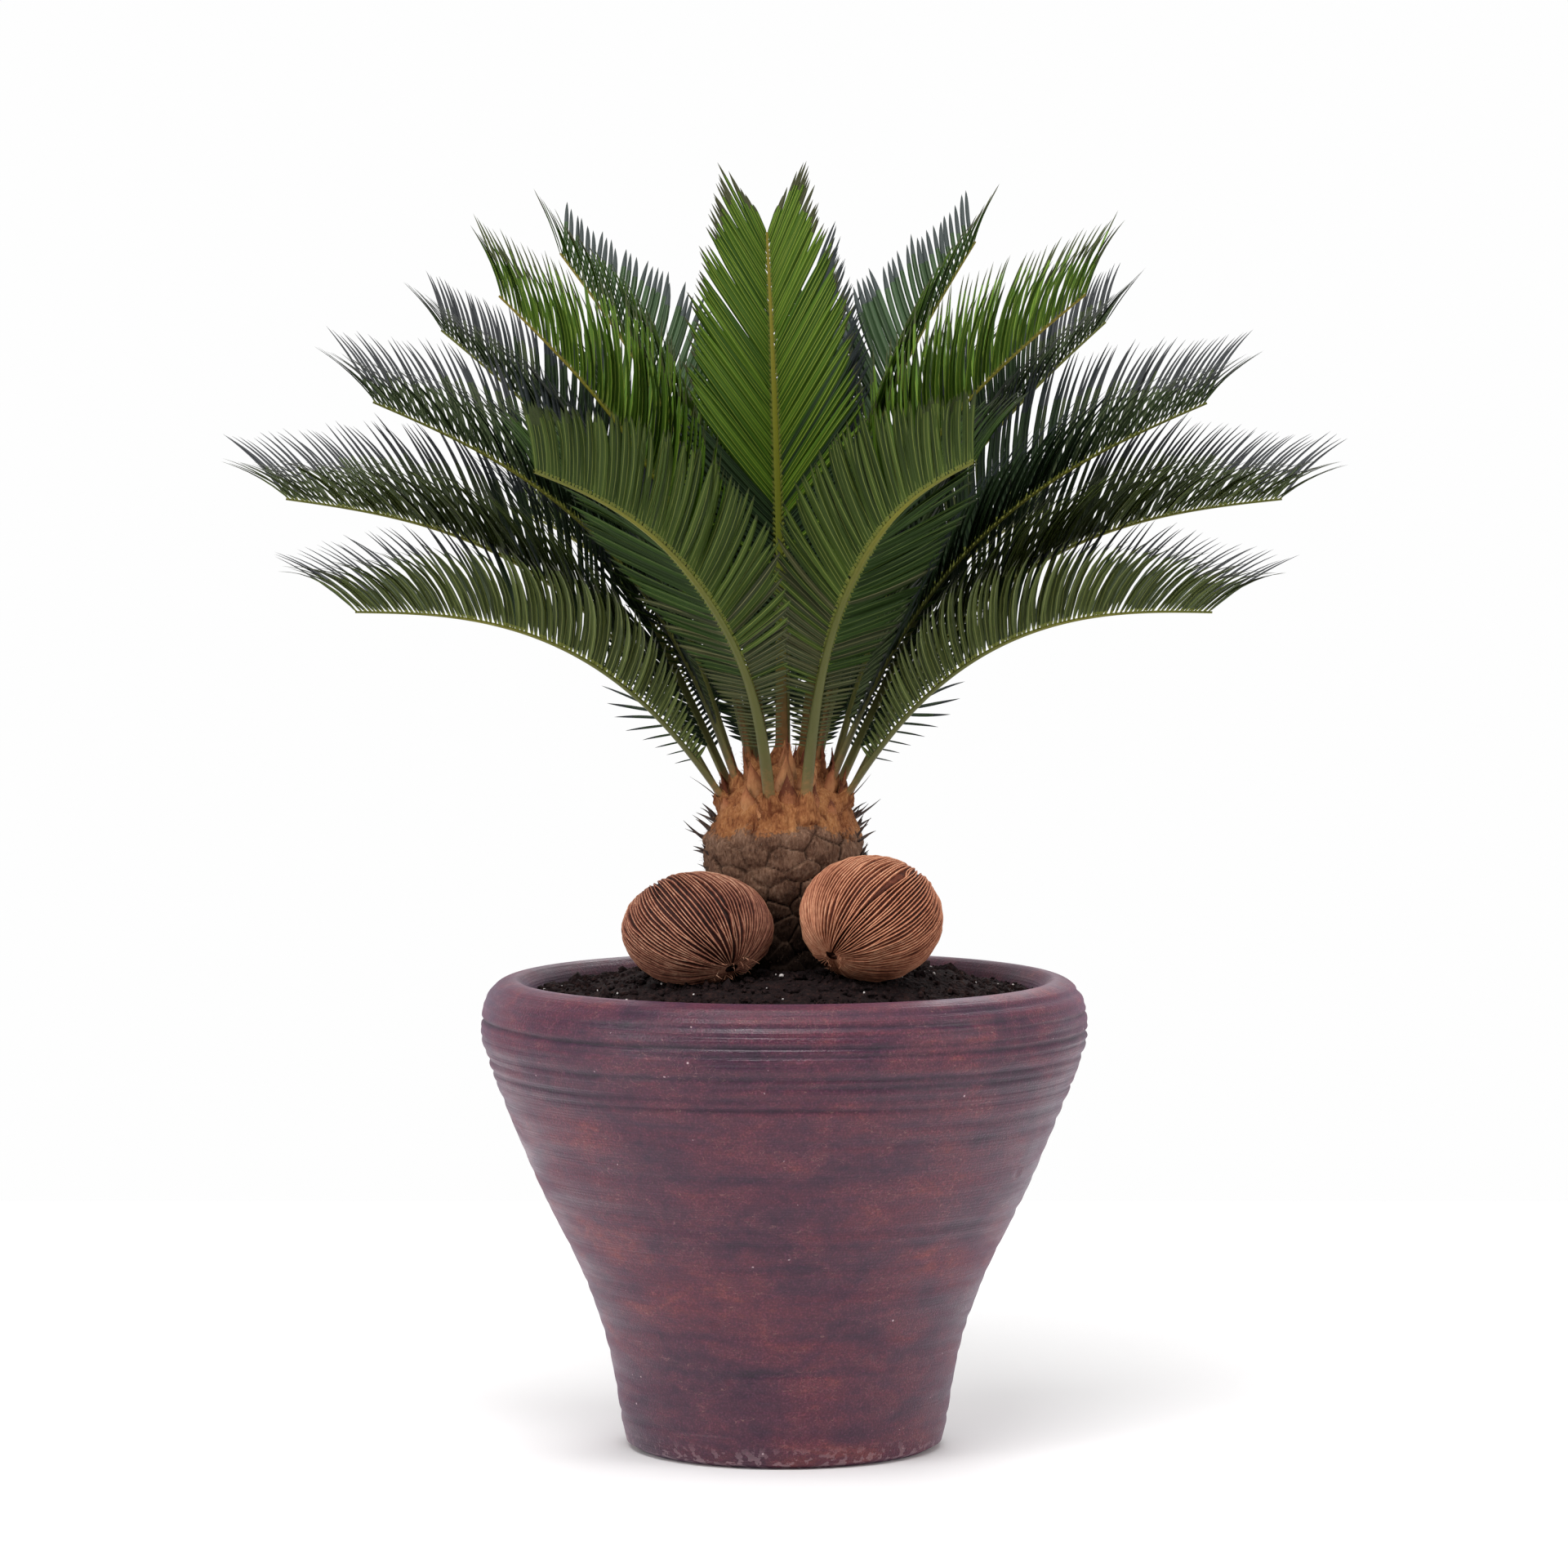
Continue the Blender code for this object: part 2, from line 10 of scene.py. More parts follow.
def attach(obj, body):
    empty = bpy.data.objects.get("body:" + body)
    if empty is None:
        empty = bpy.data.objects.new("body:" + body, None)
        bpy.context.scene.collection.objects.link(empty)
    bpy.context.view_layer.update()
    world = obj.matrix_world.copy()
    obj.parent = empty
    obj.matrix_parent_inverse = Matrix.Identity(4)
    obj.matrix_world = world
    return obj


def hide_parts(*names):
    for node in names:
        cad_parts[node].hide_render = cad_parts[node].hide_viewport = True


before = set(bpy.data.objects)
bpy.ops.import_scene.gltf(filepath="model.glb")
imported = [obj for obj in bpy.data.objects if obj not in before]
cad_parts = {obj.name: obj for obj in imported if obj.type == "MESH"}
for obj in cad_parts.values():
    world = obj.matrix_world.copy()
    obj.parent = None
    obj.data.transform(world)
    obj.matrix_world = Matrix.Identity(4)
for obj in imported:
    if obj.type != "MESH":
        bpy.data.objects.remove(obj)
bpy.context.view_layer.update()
MM = 0.001

# The pot. Red earthenware thrown on a wheel: its wall flares from a narrow foot to a rolled lip,
# and the throwing left rings all the way up, deepest under the lip. It was rubbed with a dark
# purple stain after firing, which gathers in the rings and leaves the high places redder.
POT_COLUMNS = 256
POT_ROW = 1.25
POT_FLOOR = 18.0
# radius and height in mm of the wall's profile: up inside, over the lip and down the outside
POT_INSIDE = [(84, 18), (88, 24), (97, 64), (116, 119), (141, 173), (164, 233), (168.5, 272)]
POT_OUTSIDE = [
    (168, 297), (171, 306), (178, 311), (189, 307.5), (197, 297), (200, 279), (198.4, 266),
    (187, 233), (160.8, 173), (135.2, 119), (115.9, 64), (107, 15),
]
POT_FOOT = [(104.5, 4), (97, 0)]
# the lip's inner rows and the lowest few mm stay free of rings
PLAIN_LIP_ROWS = 8
PLAIN_FOOT = 5.0
RINGS_START = 12.0
RINGS_END = 304.0
DEEP_RINGS_FROM = 236.0
RING_WIDTH = 2.9
# least and most depth in mm, share of the width above, and mm up to the next ring
SHALLOW_RINGS = ((0.4, 1.1), (0.8, 1.5), (9.0, 17.0))
DEEP_RINGS = ((1.1, 2.2), (0.5, 0.85), (5.0, 9.5))
RINGS_SEED = 11
# pocks where grit came out of the wall: degrees round from the front, height, size and depth
POCKS = ((-20, 98, 5.5, 1.6), (-17, 60, 5.0, 1.1), (8, 151, 4.5, 0.8), (31, 74, 6.0, 0.9),
         (64, 190, 5.0, 1.2), (143, 120, 6.0, 1.3), (-118, 88, 5.0, 1.2), (-75, 214, 5.5, 1.0))


def smooth_line(points, step):
    """A smooth curve through points, resampled to an even step."""
    points = np.array(points, float)
    padded = np.vstack([points[:1], points, points[-1:]])
    line = []
    t = np.linspace(0.0, 1.0, 24, endpoint=False)[:, None]
    for before, here, there, after in zip(padded, padded[1:], padded[2:], padded[3:]):
        bend = 2 * before - 5 * here + 4 * there - after
        twist = 3 * here - before - 3 * there + after
        line.append(here + ((there - before) * t + bend * t**2 + twist * t**3) / 2)
    line = np.vstack(line + [points[-1:]])
    run = np.concatenate([[0.0], np.cumsum(np.linalg.norm(np.diff(line, axis=0), axis=1))])
    places = np.linspace(0.0, run[-1], max(2, round(run[-1] / step)) + 1)
    return np.stack([np.interp(places, run, line[:, k]) for k in range(line.shape[1])], axis=1)


def grid_faces(rows, columns, closed=False, start=0):
    """The quads of a grid of points, row after row, closed on itself across if asked."""
    wide = columns if closed else columns - 1
    row, column = np.meshgrid(np.arange(rows - 1), np.arange(wide), indexing="ij")
    beside = (column + 1) % columns
    quads = [row * columns + column, row * columns + beside]
    quads += [(row + 1) * columns + beside, (row + 1) * columns + column]
    return start + np.stack(quads, axis=-1).reshape(-1, 4)


def turned_about(radius, angle, height):
    """Points that far out from an upright axis, at an angle round it and a height."""
    return np.stack([radius * np.cos(angle), radius * np.sin(angle), height + 0 * angle], axis=-1)


def new_piece(name, points, faces, materials, dealt=None, marks=None):
    """A smooth mesh object from its points and faces, with numbers that its materials read."""
    mesh = bpy.data.meshes.new(name)
    groups = faces if isinstance(faces, list) else [faces]
    corners = np.concatenate([np.ravel(group) for group in groups])
    sizes = np.concatenate([np.full(len(group), group.shape[1]) for group in groups])
    mesh.vertices.add(len(points))
    mesh.vertices.foreach_set("co", np.ravel(points).astype(np.float32))
    mesh.loops.add(len(corners))
    mesh.loops.foreach_set("vertex_index", corners.astype(np.int32))
    mesh.polygons.add(len(sizes))
    mesh.polygons.foreach_set("loop_start", (np.cumsum(sizes) - sizes).astype(np.int32))
    if dealt is not None:
        mesh.polygons.foreach_set("material_index", dealt.astype(np.int32))
    for mark, values in (marks or {}).items():
        layer = mesh.attributes.new(mark, "FLOAT", "POINT")
        layer.data.foreach_set("value", np.ravel(values).astype(np.float32))
    for material in materials:
        mesh.materials.append(material)
    mesh.update(calc_edges=True)
    mesh.validate()
    mesh.shade_smooth()
    piece = bpy.data.objects.new(name, mesh)
    bpy.context.scene.collection.objects.link(piece)
    return piece


def linear(colour):
    """An sRGB hex colour as the linear values that a shader takes."""
    parts = [int(colour[i:i + 2], 16) / 255 for i in (1, 3, 5)]
    return [p / 12.92 if p <= 0.04045 else ((p + 0.055) / 1.055) ** 2.4 for p in parts] + [1.0]


def node(tree, kind, sockets=None, stops=None, **settings):
    """Adds a shader node with its settings, its values and links, and a ramp's colours."""
    made = tree.nodes.new("ShaderNode" + kind)
    for name, value in settings.items():
        setattr(made, name, value)
    if stops:
        ramp = made.color_ramp
        for place, _ in stops[1:-1]:
            ramp.elements.new(place)
        ramp.elements[0].position = stops[0][0]
        ramp.elements[len(stops) - 1].position = stops[-1][0]
        for element, (_, colour) in zip(ramp.elements, stops):
            element.color = linear(colour)
    for name, value in (sockets or {}).items():
        if isinstance(value, bpy.types.NodeSocket):
            tree.links.new(value, made.inputs[name])
        else:
            made.inputs[name].default_value = value
    return made


def new_finish(name, roughness, ior=1.5):
    """A material with its node tree and its shader."""
    material = bpy.data.materials.new(name)
    material.use_nodes = True
    shader = material.node_tree.nodes["Principled BSDF"]
    shader.inputs["Roughness"].default_value = roughness
    shader.inputs["IOR"].default_value = ior
    return material, material.node_tree, shader


# Stained earthenware: rubbed and slightly burnished, so it shows a soft satin sheen and a lilac
# bloom on the lip and at the sides. The stain is cloudy, with blotches of about 40 mm, and darker
# in the rings. Over sandy grain of 1.3 mm it has fine turning lines, thin pale scratches, chalky
# flecks 1.5 mm across, and scuffs along the foot.
stained_clay, tree, shader = new_finish("stained earthenware", 0.5)
shader.inputs["Specular IOR Level"].default_value = 0.44
shader.inputs["Sheen Weight"].default_value = 0.16
shader.inputs["Sheen Roughness"].default_value = 0.45
shader.inputs["Sheen Tint"].default_value = linear("#d0addf")
place = node(tree, "TexCoord").outputs["Object"]
level = node(tree, "Mapping", {"Vector": place, "Scale": (1, 1, 2.0)}).outputs[0]
streaky = node(tree, "Mapping", {"Vector": place, "Scale": (1, 1, 6)}).outputs[0]
clouds = node(tree, "TexNoise", {"Vector": level, "Scale": 9, "Detail": 6, "Roughness": 0.62,
                                 "Distortion": 0.6})
blotches = node(tree, "TexNoise", {"Vector": level, "Scale": 26, "Detail": 4, "Roughness": 0.6,
                                   "Distortion": 0.8})
streaks = node(tree, "TexNoise", {"Vector": streaky, "Scale": 7, "Detail": 7, "Roughness": 0.7})
mottle = node(tree, "TexNoise", {"Vector": place, "Scale": 190, "Detail": 3})
grain = node(tree, "TexNoise", {"Vector": place, "Scale": 760, "Detail": 2})
ring_mark = node(tree, "Attribute", attribute_name="groove").outputs["Fac"]
tone = node(tree, "Math", {0: clouds.outputs["Fac"], 1: 0.38}, operation="MULTIPLY")
for part, weight in ((blotches.outputs["Fac"], 0.34), (streaks.outputs["Fac"], 0.27),
                     (mottle.outputs["Fac"], 0.12), (ring_mark, -0.055)):
    tone = node(tree, "Math", {0: part, 1: weight, 2: tone.outputs[0]}, operation="MULTIPLY_ADD")
stain = node(tree, "ValToRGB", {"Fac": tone.outputs[0]}, stops=[
    (0.39, "#281828"), (0.46, "#391d31"), (0.53, "#4a2436"), (0.61, "#5a2937"), (0.71, "#783b38"),
])
sandy = node(tree, "ValToRGB", {"Fac": grain.outputs["Fac"]}, stops=[
    (0.3, "#8a8286"), (0.55, "#bcb3b6"), (0.72, "#ffffff"),
])
clay_colour = node(tree, "Mix", {0: 0.62, 6: stain.outputs[0], 7: sandy.outputs[0]},
                   data_type="RGBA", blend_type="OVERLAY")
worming = node(tree, "TexNoise", {"Vector": level, "Scale": 150, "Detail": 1})
worm_line = node(tree, "Math", {0: worming.outputs["Fac"], 1: 0.5, 2: 0.006}, operation="COMPARE")
sparse = node(tree, "Math", {0: blotches.outputs["Fac"], 1: 0.53}, operation="GREATER_THAN")
scratch = node(tree, "Math", {0: worm_line.outputs[0], 1: sparse.outputs[0]},
               operation="MULTIPLY")
chalk = node(tree, "TexVoronoi", {"Vector": place, "Scale": 95}, feature="F1")
fleck = node(tree, "Math", {0: chalk.outputs["Distance"], 1: 0.07}, operation="LESS_THAN")
dusty = node(tree, "Math", {0: mottle.outputs["Fac"], 1: 0.62}, operation="GREATER_THAN")
flecked = node(tree, "Math", {0: fleck.outputs[0], 1: dusty.outputs[0]}, operation="MULTIPLY")
up = node(tree, "SeparateXYZ", {0: place}).outputs["Z"]
foot_mark = node(tree, "MapRange", {"Value": up, "From Min": 0.002, "From Max": 0.016,
                                    "To Min": 1.0, "To Max": 0.0})
scuffs = node(tree, "Math", {0: mottle.outputs["Fac"], 1: 0.55}, operation="GREATER_THAN")
scuffed = node(tree, "Math", {0: foot_mark.outputs[0], 1: scuffs.outputs[0]},
               operation="MULTIPLY")
for mark, strength, colour in ((scratch, 0.4, "#97706a"), (flecked, 1.0, "#b39aa0"),
                               (scuffed, 0.55, "#a48a90")):
    share = node(tree, "Math", {0: mark.outputs[0], 1: strength}, operation="MULTIPLY")
    clay_colour = node(tree, "Mix", {
        0: share.outputs[0], 6: clay_colour.outputs[2], 7: linear(colour),
    }, data_type="RGBA")
tree.links.new(clay_colour.outputs[2], shader.inputs["Base Color"])
sheen = node(tree, "MapRange", {"Value": streaks.outputs["Fac"], "From Min": 0.35,
                                "From Max": 0.65, "To Min": 0.3, "To Max": 0.58})
tree.links.new(sheen.outputs[0], shader.inputs["Roughness"])
sand = node(tree, "Bump", {"Strength": 0.45, "Distance": 0.0007, "Height": grain.outputs["Fac"]})
drawn_out = node(tree, "Mapping", {"Vector": place, "Scale": (1, 1, 130)}).outputs[0]
turning_lines = node(tree, "TexNoise", {"Vector": drawn_out, "Scale": 6, "Detail": 3})
turned = node(tree, "Bump", {"Strength": 0.5, "Distance": 0.0012,
                             "Height": turning_lines.outputs["Fac"], "Normal": sand.outputs[0]})
rubbed = node(tree, "Bump", {"Strength": 0.4, "Distance": 0.0014,
                             "Height": streaks.outputs["Fac"], "Normal": turned.outputs[0]})
tree.links.new(rubbed.outputs[0], shader.inputs["Normal"])

outer = smooth_line(POT_OUTSIDE, POT_ROW)
profile = np.vstack([[(0, POT_FLOOR)], POT_INSIDE, outer, POT_FOOT, [(0.01, 0)]])
angles = np.arange(POT_COLUMNS) / POT_COLUMNS * math.tau
radius, height = profile[:, :1], profile[:, 1:]
# the rings wander up and down by a mm or two on their way round
wander = 1.5 * np.sin(angles + 1.1) + 0.8 * np.sin(2 * angles + 0.4) + 0.5 * np.sin(5 * angles)
thrown = height + wander
chance = np.random.default_rng(RINGS_SEED)
groove = np.zeros((len(profile), POT_COLUMNS))
ring = RINGS_START
while ring < RINGS_END:
    depths, widths, steps = DEEP_RINGS if ring > DEEP_RINGS_FROM else SHALLOW_RINGS
    depth = chance.uniform(*depths)
    turn, phase = chance.integers(1, 4), chance.uniform(0, math.tau)
    depth = depth * (0.6 + 0.4 * np.sin(turn * angles + phase))
    wide = RING_WIDTH * chance.uniform(*widths)
    groove += depth * np.exp(-(((thrown - ring) / wide) ** 2))
    ring += chance.uniform(*steps)
on_outside = (np.arange(len(profile)) > len(POT_INSIDE) + PLAIN_LIP_ROWS)[:, None]
on_outside = on_outside & (height > PLAIN_FOOT)
groove = np.where(on_outside, groove, 0.0)
pocked = np.zeros_like(groove)
for turn, up_at, wide, deep in POCKS:
    across = (np.degrees(angles) - (turn - 90.0) + 180.0) % 360.0 - 180.0
    away = np.hypot(np.radians(across) * radius, height - up_at) / wide
    pocked += on_outside * deep * (np.exp(-away**2 * 3.0) - 0.25 * np.exp(-(away - 1.1)**2 * 5.0))
# hand-thrown walls are a little out of round, and swell and sink every 13 cm or so
uneven = 0.5 * np.sin(2 * angles + 0.7) + 0.35 * np.sin(3 * angles + 2.2)
bulge = 0.5 * np.sin(thrown / 21.0 + 0.6 * np.sin(angles)) * on_outside
wall = radius - groove - pocked + (uneven * radius / 200.0) + bulge
pot_points = turned_about(wall, angles, height).reshape(-1, 3) * MM
pot = new_piece("turned_pot", pot_points, grid_faces(len(profile), POT_COLUMNS, closed=True),
                [stained_clay], marks={"groove": groove})
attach(pot, "root")
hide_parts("pot")

# The potting mix. Damp dark peat and bark crumbs, heaped loosely round the trunk and the husks and
# a little below the lip, with white perlite bits pushed in among them.
SOIL_EDGE = 299.0
SOIL_TOP = 318.0
SOIL_INNER_RADIUS = 14.0
MOUND_TOP_RADIUS = 72.0
MOUND_FOOT_RADIUS = 168.0
WALL_RADIUS = 169.0
SOIL_RINGS = 80
SOIL_COLUMNS = 288
# heaps and a hollow left by hand: height, place across and forward, and reach, in mm
HEAPS = ((6.0, 108, -40, 26.0), (4.0, -96, -92, 22.0), (-3.0, 2, -108, 20.0))
CRUMBS = 3600
CRUMBS_REACH = 167.0
PERLITE_BITS = 110
PERLITE_REACH = 163.0
SOIL_SEED = 5
# The husks that lie in the mix: centre, half sizes and the way of the fibres' pole; the split's
# angle round the pole, its drift and its reach down, its depth and the rise of its lip in mm; how
# many long fibres there are, and how wide the split is cut.
HUSKS = {
    "husk_left": {"centre": (-56, -70, 349), "half": (47, 36, 36), "pole": (0.47, -0.60, -0.65),
                  "cleft": (150.0, -10.0, 1.3), "cleft_depth": 1.2, "lip": 0.3, "seed": 3,
                  "strands": 52, "cut": 1.0},
    "husk_right": {"centre": (56.5, -74, 356.5), "half": (45, 37, 39.5),
                   "pole": (-0.58, -0.58, -0.57), "cleft": (8.0, -7.0, 2.3), "cleft_depth": 3.4,
                   "lip": 1.2, "seed": 8, "strands": 56, "cut": 0.6},
}


def ease(share):
    """0 to 1 with a slow start and a slow end."""
    share = np.clip(share, 0.0, 1.0)
    return share * share * (3.0 - 2.0 * share)


def blend(first, second, share):
    """The value that lies at a share of the way from first to second."""
    return first + (second - first) * share


def rough(points, scale, octaves=3):
    """Smooth noise of -1 to 1 at each point, with lumps of 1 / scale.

    A constant added to the points gives another pattern of the same kind.
    """
    values = [noise.fractal(Vector(p) * scale, 0.9, 2.0, octaves) for p in points.reshape(-1, 3)]
    return np.array(values).reshape(points.shape[:-1])


def repeated(faces, count, points_each, start=0):
    """The faces of one small part, for each of many whose points follow one another."""
    firsts = start + points_each * np.arange(count)[:, None, None]
    return (faces[None] + firsts).reshape(-1, faces.shape[1])


def lumps(centres, sizes, chance):
    """Small angular bits: a jittered 12-cornered lump at each centre."""
    # an even ball of 20 triangles: a face joins any three corners that are near each other
    gold = (1 + 5**0.5) / 2
    corners = np.array([(s * 1.0, t * gold, 0.0) for s in (-1, 1) for t in (-1, 1)])
    corners = np.vstack([corners, corners[:, [2, 0, 1]], corners[:, [1, 2, 0]]]) / 1.9
    faces = []
    for i in range(12):
        for j in range(i + 1, 12):
            for k in range(j + 1, 12):
                a, b, c = corners[[i, j, k]]
                sides = [np.linalg.norm(a - b), np.linalg.norm(b - c), np.linalg.norm(a - c)]
                if max(sides) < 1.1:
                    outward = np.dot(np.cross(b - a, c - a), a) > 0
                    faces.append((i, j, k) if outward else (i, k, j))
    shape = corners * chance.uniform(0.55, 1.25, (len(centres), 12, 1))
    stretch = chance.uniform(0.6, 1.3, (len(centres), 1, 3))
    points = centres[:, None] + shape * stretch * sizes[:, None, None]
    return points.reshape(-1, 3), repeated(np.array(faces), len(centres), 12)


def soil_height(x, y):
    """Height of the mix in mm: a mound round the trunk, with the heaps and the hollow."""
    share = (np.hypot(x, y) - MOUND_TOP_RADIUS) / (MOUND_FOOT_RADIUS - MOUND_TOP_RADIUS)
    height = blend(SOIL_TOP, SOIL_EDGE, ease(share))
    for high, heap_x, heap_y, reach in HEAPS:
        height = height + high * np.exp(-((x - heap_x) ** 2 + (y - heap_y) ** 2) / reach**2)
    return height


def inside_husk(x, y, z):
    """Whether a place is well inside either husk."""
    found = np.zeros(np.shape(x), bool)
    for husk in HUSKS.values():
        away = [(p - c) / h for p, c, h in zip((x, y, z), husk["centre"], husk["half"])]
        found |= sum(a * a for a in away) < 0.9
    return found


def scattered(count, reach, nearest, chance):
    """Places all over the mix, out to a reach, and not within a share of its area."""
    angle = chance.uniform(0, math.tau, count)
    away = reach * np.sqrt(chance.uniform(nearest, 1.0, count))
    return away * np.cos(angle), away * np.sin(angle)


# Damp peat: near black with threads of brown fibre and no sheen, so it swallows the light between
# the husks. Fine crumbs of 2.4 mm roughen it between the loose ones.
damp_peat, tree, shader = new_finish("damp peat", 1.0, 1.3)
place = node(tree, "TexCoord").outputs["Object"]
fibre = node(tree, "TexNoise", {"Vector": place, "Scale": 260, "Detail": 6, "Roughness": 0.7})
clods = node(tree, "TexVoronoi", {"Vector": place, "Scale": 420})
peat = node(tree, "ValToRGB", {"Fac": fibre.outputs["Fac"]}, stops=[
    (0.3, "#0d0707"), (0.5, "#1d1112"), (0.64, "#301e1b"), (0.78, "#553a30"),
])
tree.links.new(peat.outputs[0], shader.inputs["Base Color"])
crumbly = node(tree, "Bump", {"Strength": 0.9, "Distance": 0.002,
                              "Height": clods.outputs["Distance"]})
tree.links.new(crumbly.outputs[0], shader.inputs["Normal"])

# Perlite: puffed volcanic glass, chalk white, with pores of 0.7 mm, which shows as pale dots.
perlite, tree, shader = new_finish("perlite", 0.7)
place = node(tree, "TexCoord").outputs["Object"]
pores = node(tree, "TexNoise", {"Vector": place, "Scale": 1500, "Detail": 3})
chalky = node(tree, "ValToRGB", {"Fac": pores.outputs["Fac"]}, stops=[
    (0.3, "#b5aaa6"), (0.7, "#f4efec"),
])
tree.links.new(chalky.outputs[0], shader.inputs["Base Color"])

chance = np.random.default_rng(SOIL_SEED)
radii = np.linspace(SOIL_INNER_RADIUS, WALL_RADIUS, SOIL_RINGS)[:, None]
angles = np.arange(SOIL_COLUMNS) / SOIL_COLUMNS * math.tau
x, y = radii * np.cos(angles), radii * np.sin(angles)
ground = np.stack([x, y, soil_height(x, y)], axis=-1).reshape(-1, 3)
# swells of about 18 mm with clods of 3 mm over them
ground[:, 2] += 2.2 * rough(ground, 0.055) + 1.5 * rough(ground + 90.0, 0.3)
x, y = scattered(CRUMBS, CRUMBS_REACH, 0.06, chance)
z = soil_height(x, y) + chance.uniform(-0.8, 1.4, CRUMBS)
loose = ~inside_husk(x, y, z)
crumb_points, crumb_faces = lumps(
    np.stack([x, y, z], axis=1)[loose], chance.lognormal(0.25, 0.55, CRUMBS)[loose], chance)
soil = new_piece("potting_mix", np.vstack([ground, crumb_points]) * MM,
                 [grid_faces(SOIL_RINGS, SOIL_COLUMNS, closed=True), crumb_faces + len(ground)],
                 [damp_peat])
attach(soil, "root")
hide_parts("soil")

x, y = scattered(PERLITE_BITS, PERLITE_REACH, 0.1, chance)
z = soil_height(x, y) + 1.2
loose = ~inside_husk(x, y, z)
bit_points, bit_faces = lumps(
    np.stack([x, y, z], axis=1)[loose], chance.lognormal(-0.25, 0.4, PERLITE_BITS)[loose], chance)
bits = new_piece("perlite_bits", bit_points * MM, bit_faces, [perlite])
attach(bits, "root")
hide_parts("soil")

# The husks. Two dry fruits stripped to their coat of stiff fibres, which run from pole to pole,
# fork and join again, and stand up as pale ridges over a darker pith. Each is split a little where
# it once hung. They lie half on their sides in the mix.
HUSK_AROUND = 220
HUSK_ALONG = 96
HUSK_SWELL = 0.03
# depth of the pith under the fibres' feet, and depth in mm and size in radians of the poles' pits
PITH_DEPTH = 1.1
PIT_DEPTH = 4.0
PIT_SIZE = 0.13
# dents of the whole fruit: their depth in mm, and how many there are to a mm
DENT_DEPTH = 0.9
DENTS = 0.045
# a fibre's section: place across, share of its height, and mm that its edge reaches down
STRAND_SECTION = ((-1, 0.0, 1.4), (-0.6, 0.6, 0), (0, 1.0, 0), (0.6, 0.6, 0), (1, 0.0, 1.4))
STRAND_STEPS = 64
# radians down from the pole at which a fork leaves one long fibre, and joins the next
FORK_LEAVES = (0.1, 0.7)
FORK_ARRIVES = (1.4, 2.9)
# the lip's crest, in mm from the split's line, and its width
LIP_CREST = 1.8
LIP_WIDTH = 2.2
STRAND_HEIGHTS = (0.7, 1.5)
STRAND_HALF_WIDTHS = (0.48, 0.8)
LOOSE_FIBRES = 16


def husk_frame(pole):
    """The turn that takes +Z to a husk's pole by the shortest way."""
    way = Vector(pole).normalized()
    return np.array(Vector((0, 0, 1)).rotation_difference(way).to_matrix())


def husk_place(husk, around, along, proud):
    """Points on a husk, some mm proud of it, by their angles round and down from its pole."""
    way = np.stack([
        np.sin(along) * np.cos(around), np.sin(along) * np.sin(around), np.cos(along),
    ], axis=-1)
    swell = 1.0 + HUSK_SWELL * np.sin(along)[..., None] ** 2
    turned = way @ husk_frame(husk["pole"]).T
    return np.array(husk["centre"]) + turned * (np.array(husk["half"]) * swell + proud[..., None])


def cleft_offset(husk, around, along):
    """Angle from a husk's split to each place, and how open the split is there."""
    start, drift, reach = husk["cleft"]
    line = np.radians(start + drift * along)
    offset = (around - line + math.pi) % math.tau - math.pi
    # it is open over a little more than half of its reach and closes from there on
    return offset, 1.0 - ease((along - reach * 0.55) / (reach * 0.45))


def strand_angles(husk, chance, along):
    """How far round the husk each fibre runs: long ones pole to pole, and forks between them."""
    count = husk["strands"]
    base = (np.arange(count) + chance.uniform(-0.16, 0.16, count)) / count * math.tau
    wave = chance.uniform(0, math.tau, (3, count, 1))
    size = chance.uniform(0.15, 0.5, (3, count, 1)) / count
    long_ones = base[:, None] + sum(
        size[k] * np.sin((1.3 + 2.1 * k) * along + wave[k]) for k in range(3))
    beside = np.roll(long_ones, -1, axis=0)
    beside[-1] += math.tau
    leave = chance.uniform(*FORK_LEAVES, (count, 1))
    arrive = chance.uniform(*FORK_ARRIVES, (count, 1))
    across = ease((along - leave) / 0.5) * 0.5 + ease((along - arrive) / 0.5) * 0.5
    return np.vstack([long_ones, blend(long_ones, beside, across)])


def beside_split(husk, around, along, gap):
    """The same angles with each fibre kept to its own side of the split, gap or more from it."""
    offset, openness = cleft_offset(husk, around, along)
    hand = np.sign(np.sum(offset * openness, axis=1, keepdims=True))
    kept = hand * np.maximum(hand * offset, gap * openness)
    return around + np.where(np.abs(offset) < 1.0, kept - offset, 0.0) * ease(openness / 0.35)


def split_relief(husk, around, along):
    """How far the coat stands up along one lip of the split, in mm."""
    offset, openness = cleft_offset(husk, around, along)
    out = offset * np.sin(along) * float(np.mean(husk["half"]))
    return husk["lip"] * np.exp(-(((out - LIP_CREST) / LIP_WIDTH) ** 2)) * (out > -0.2) * openness


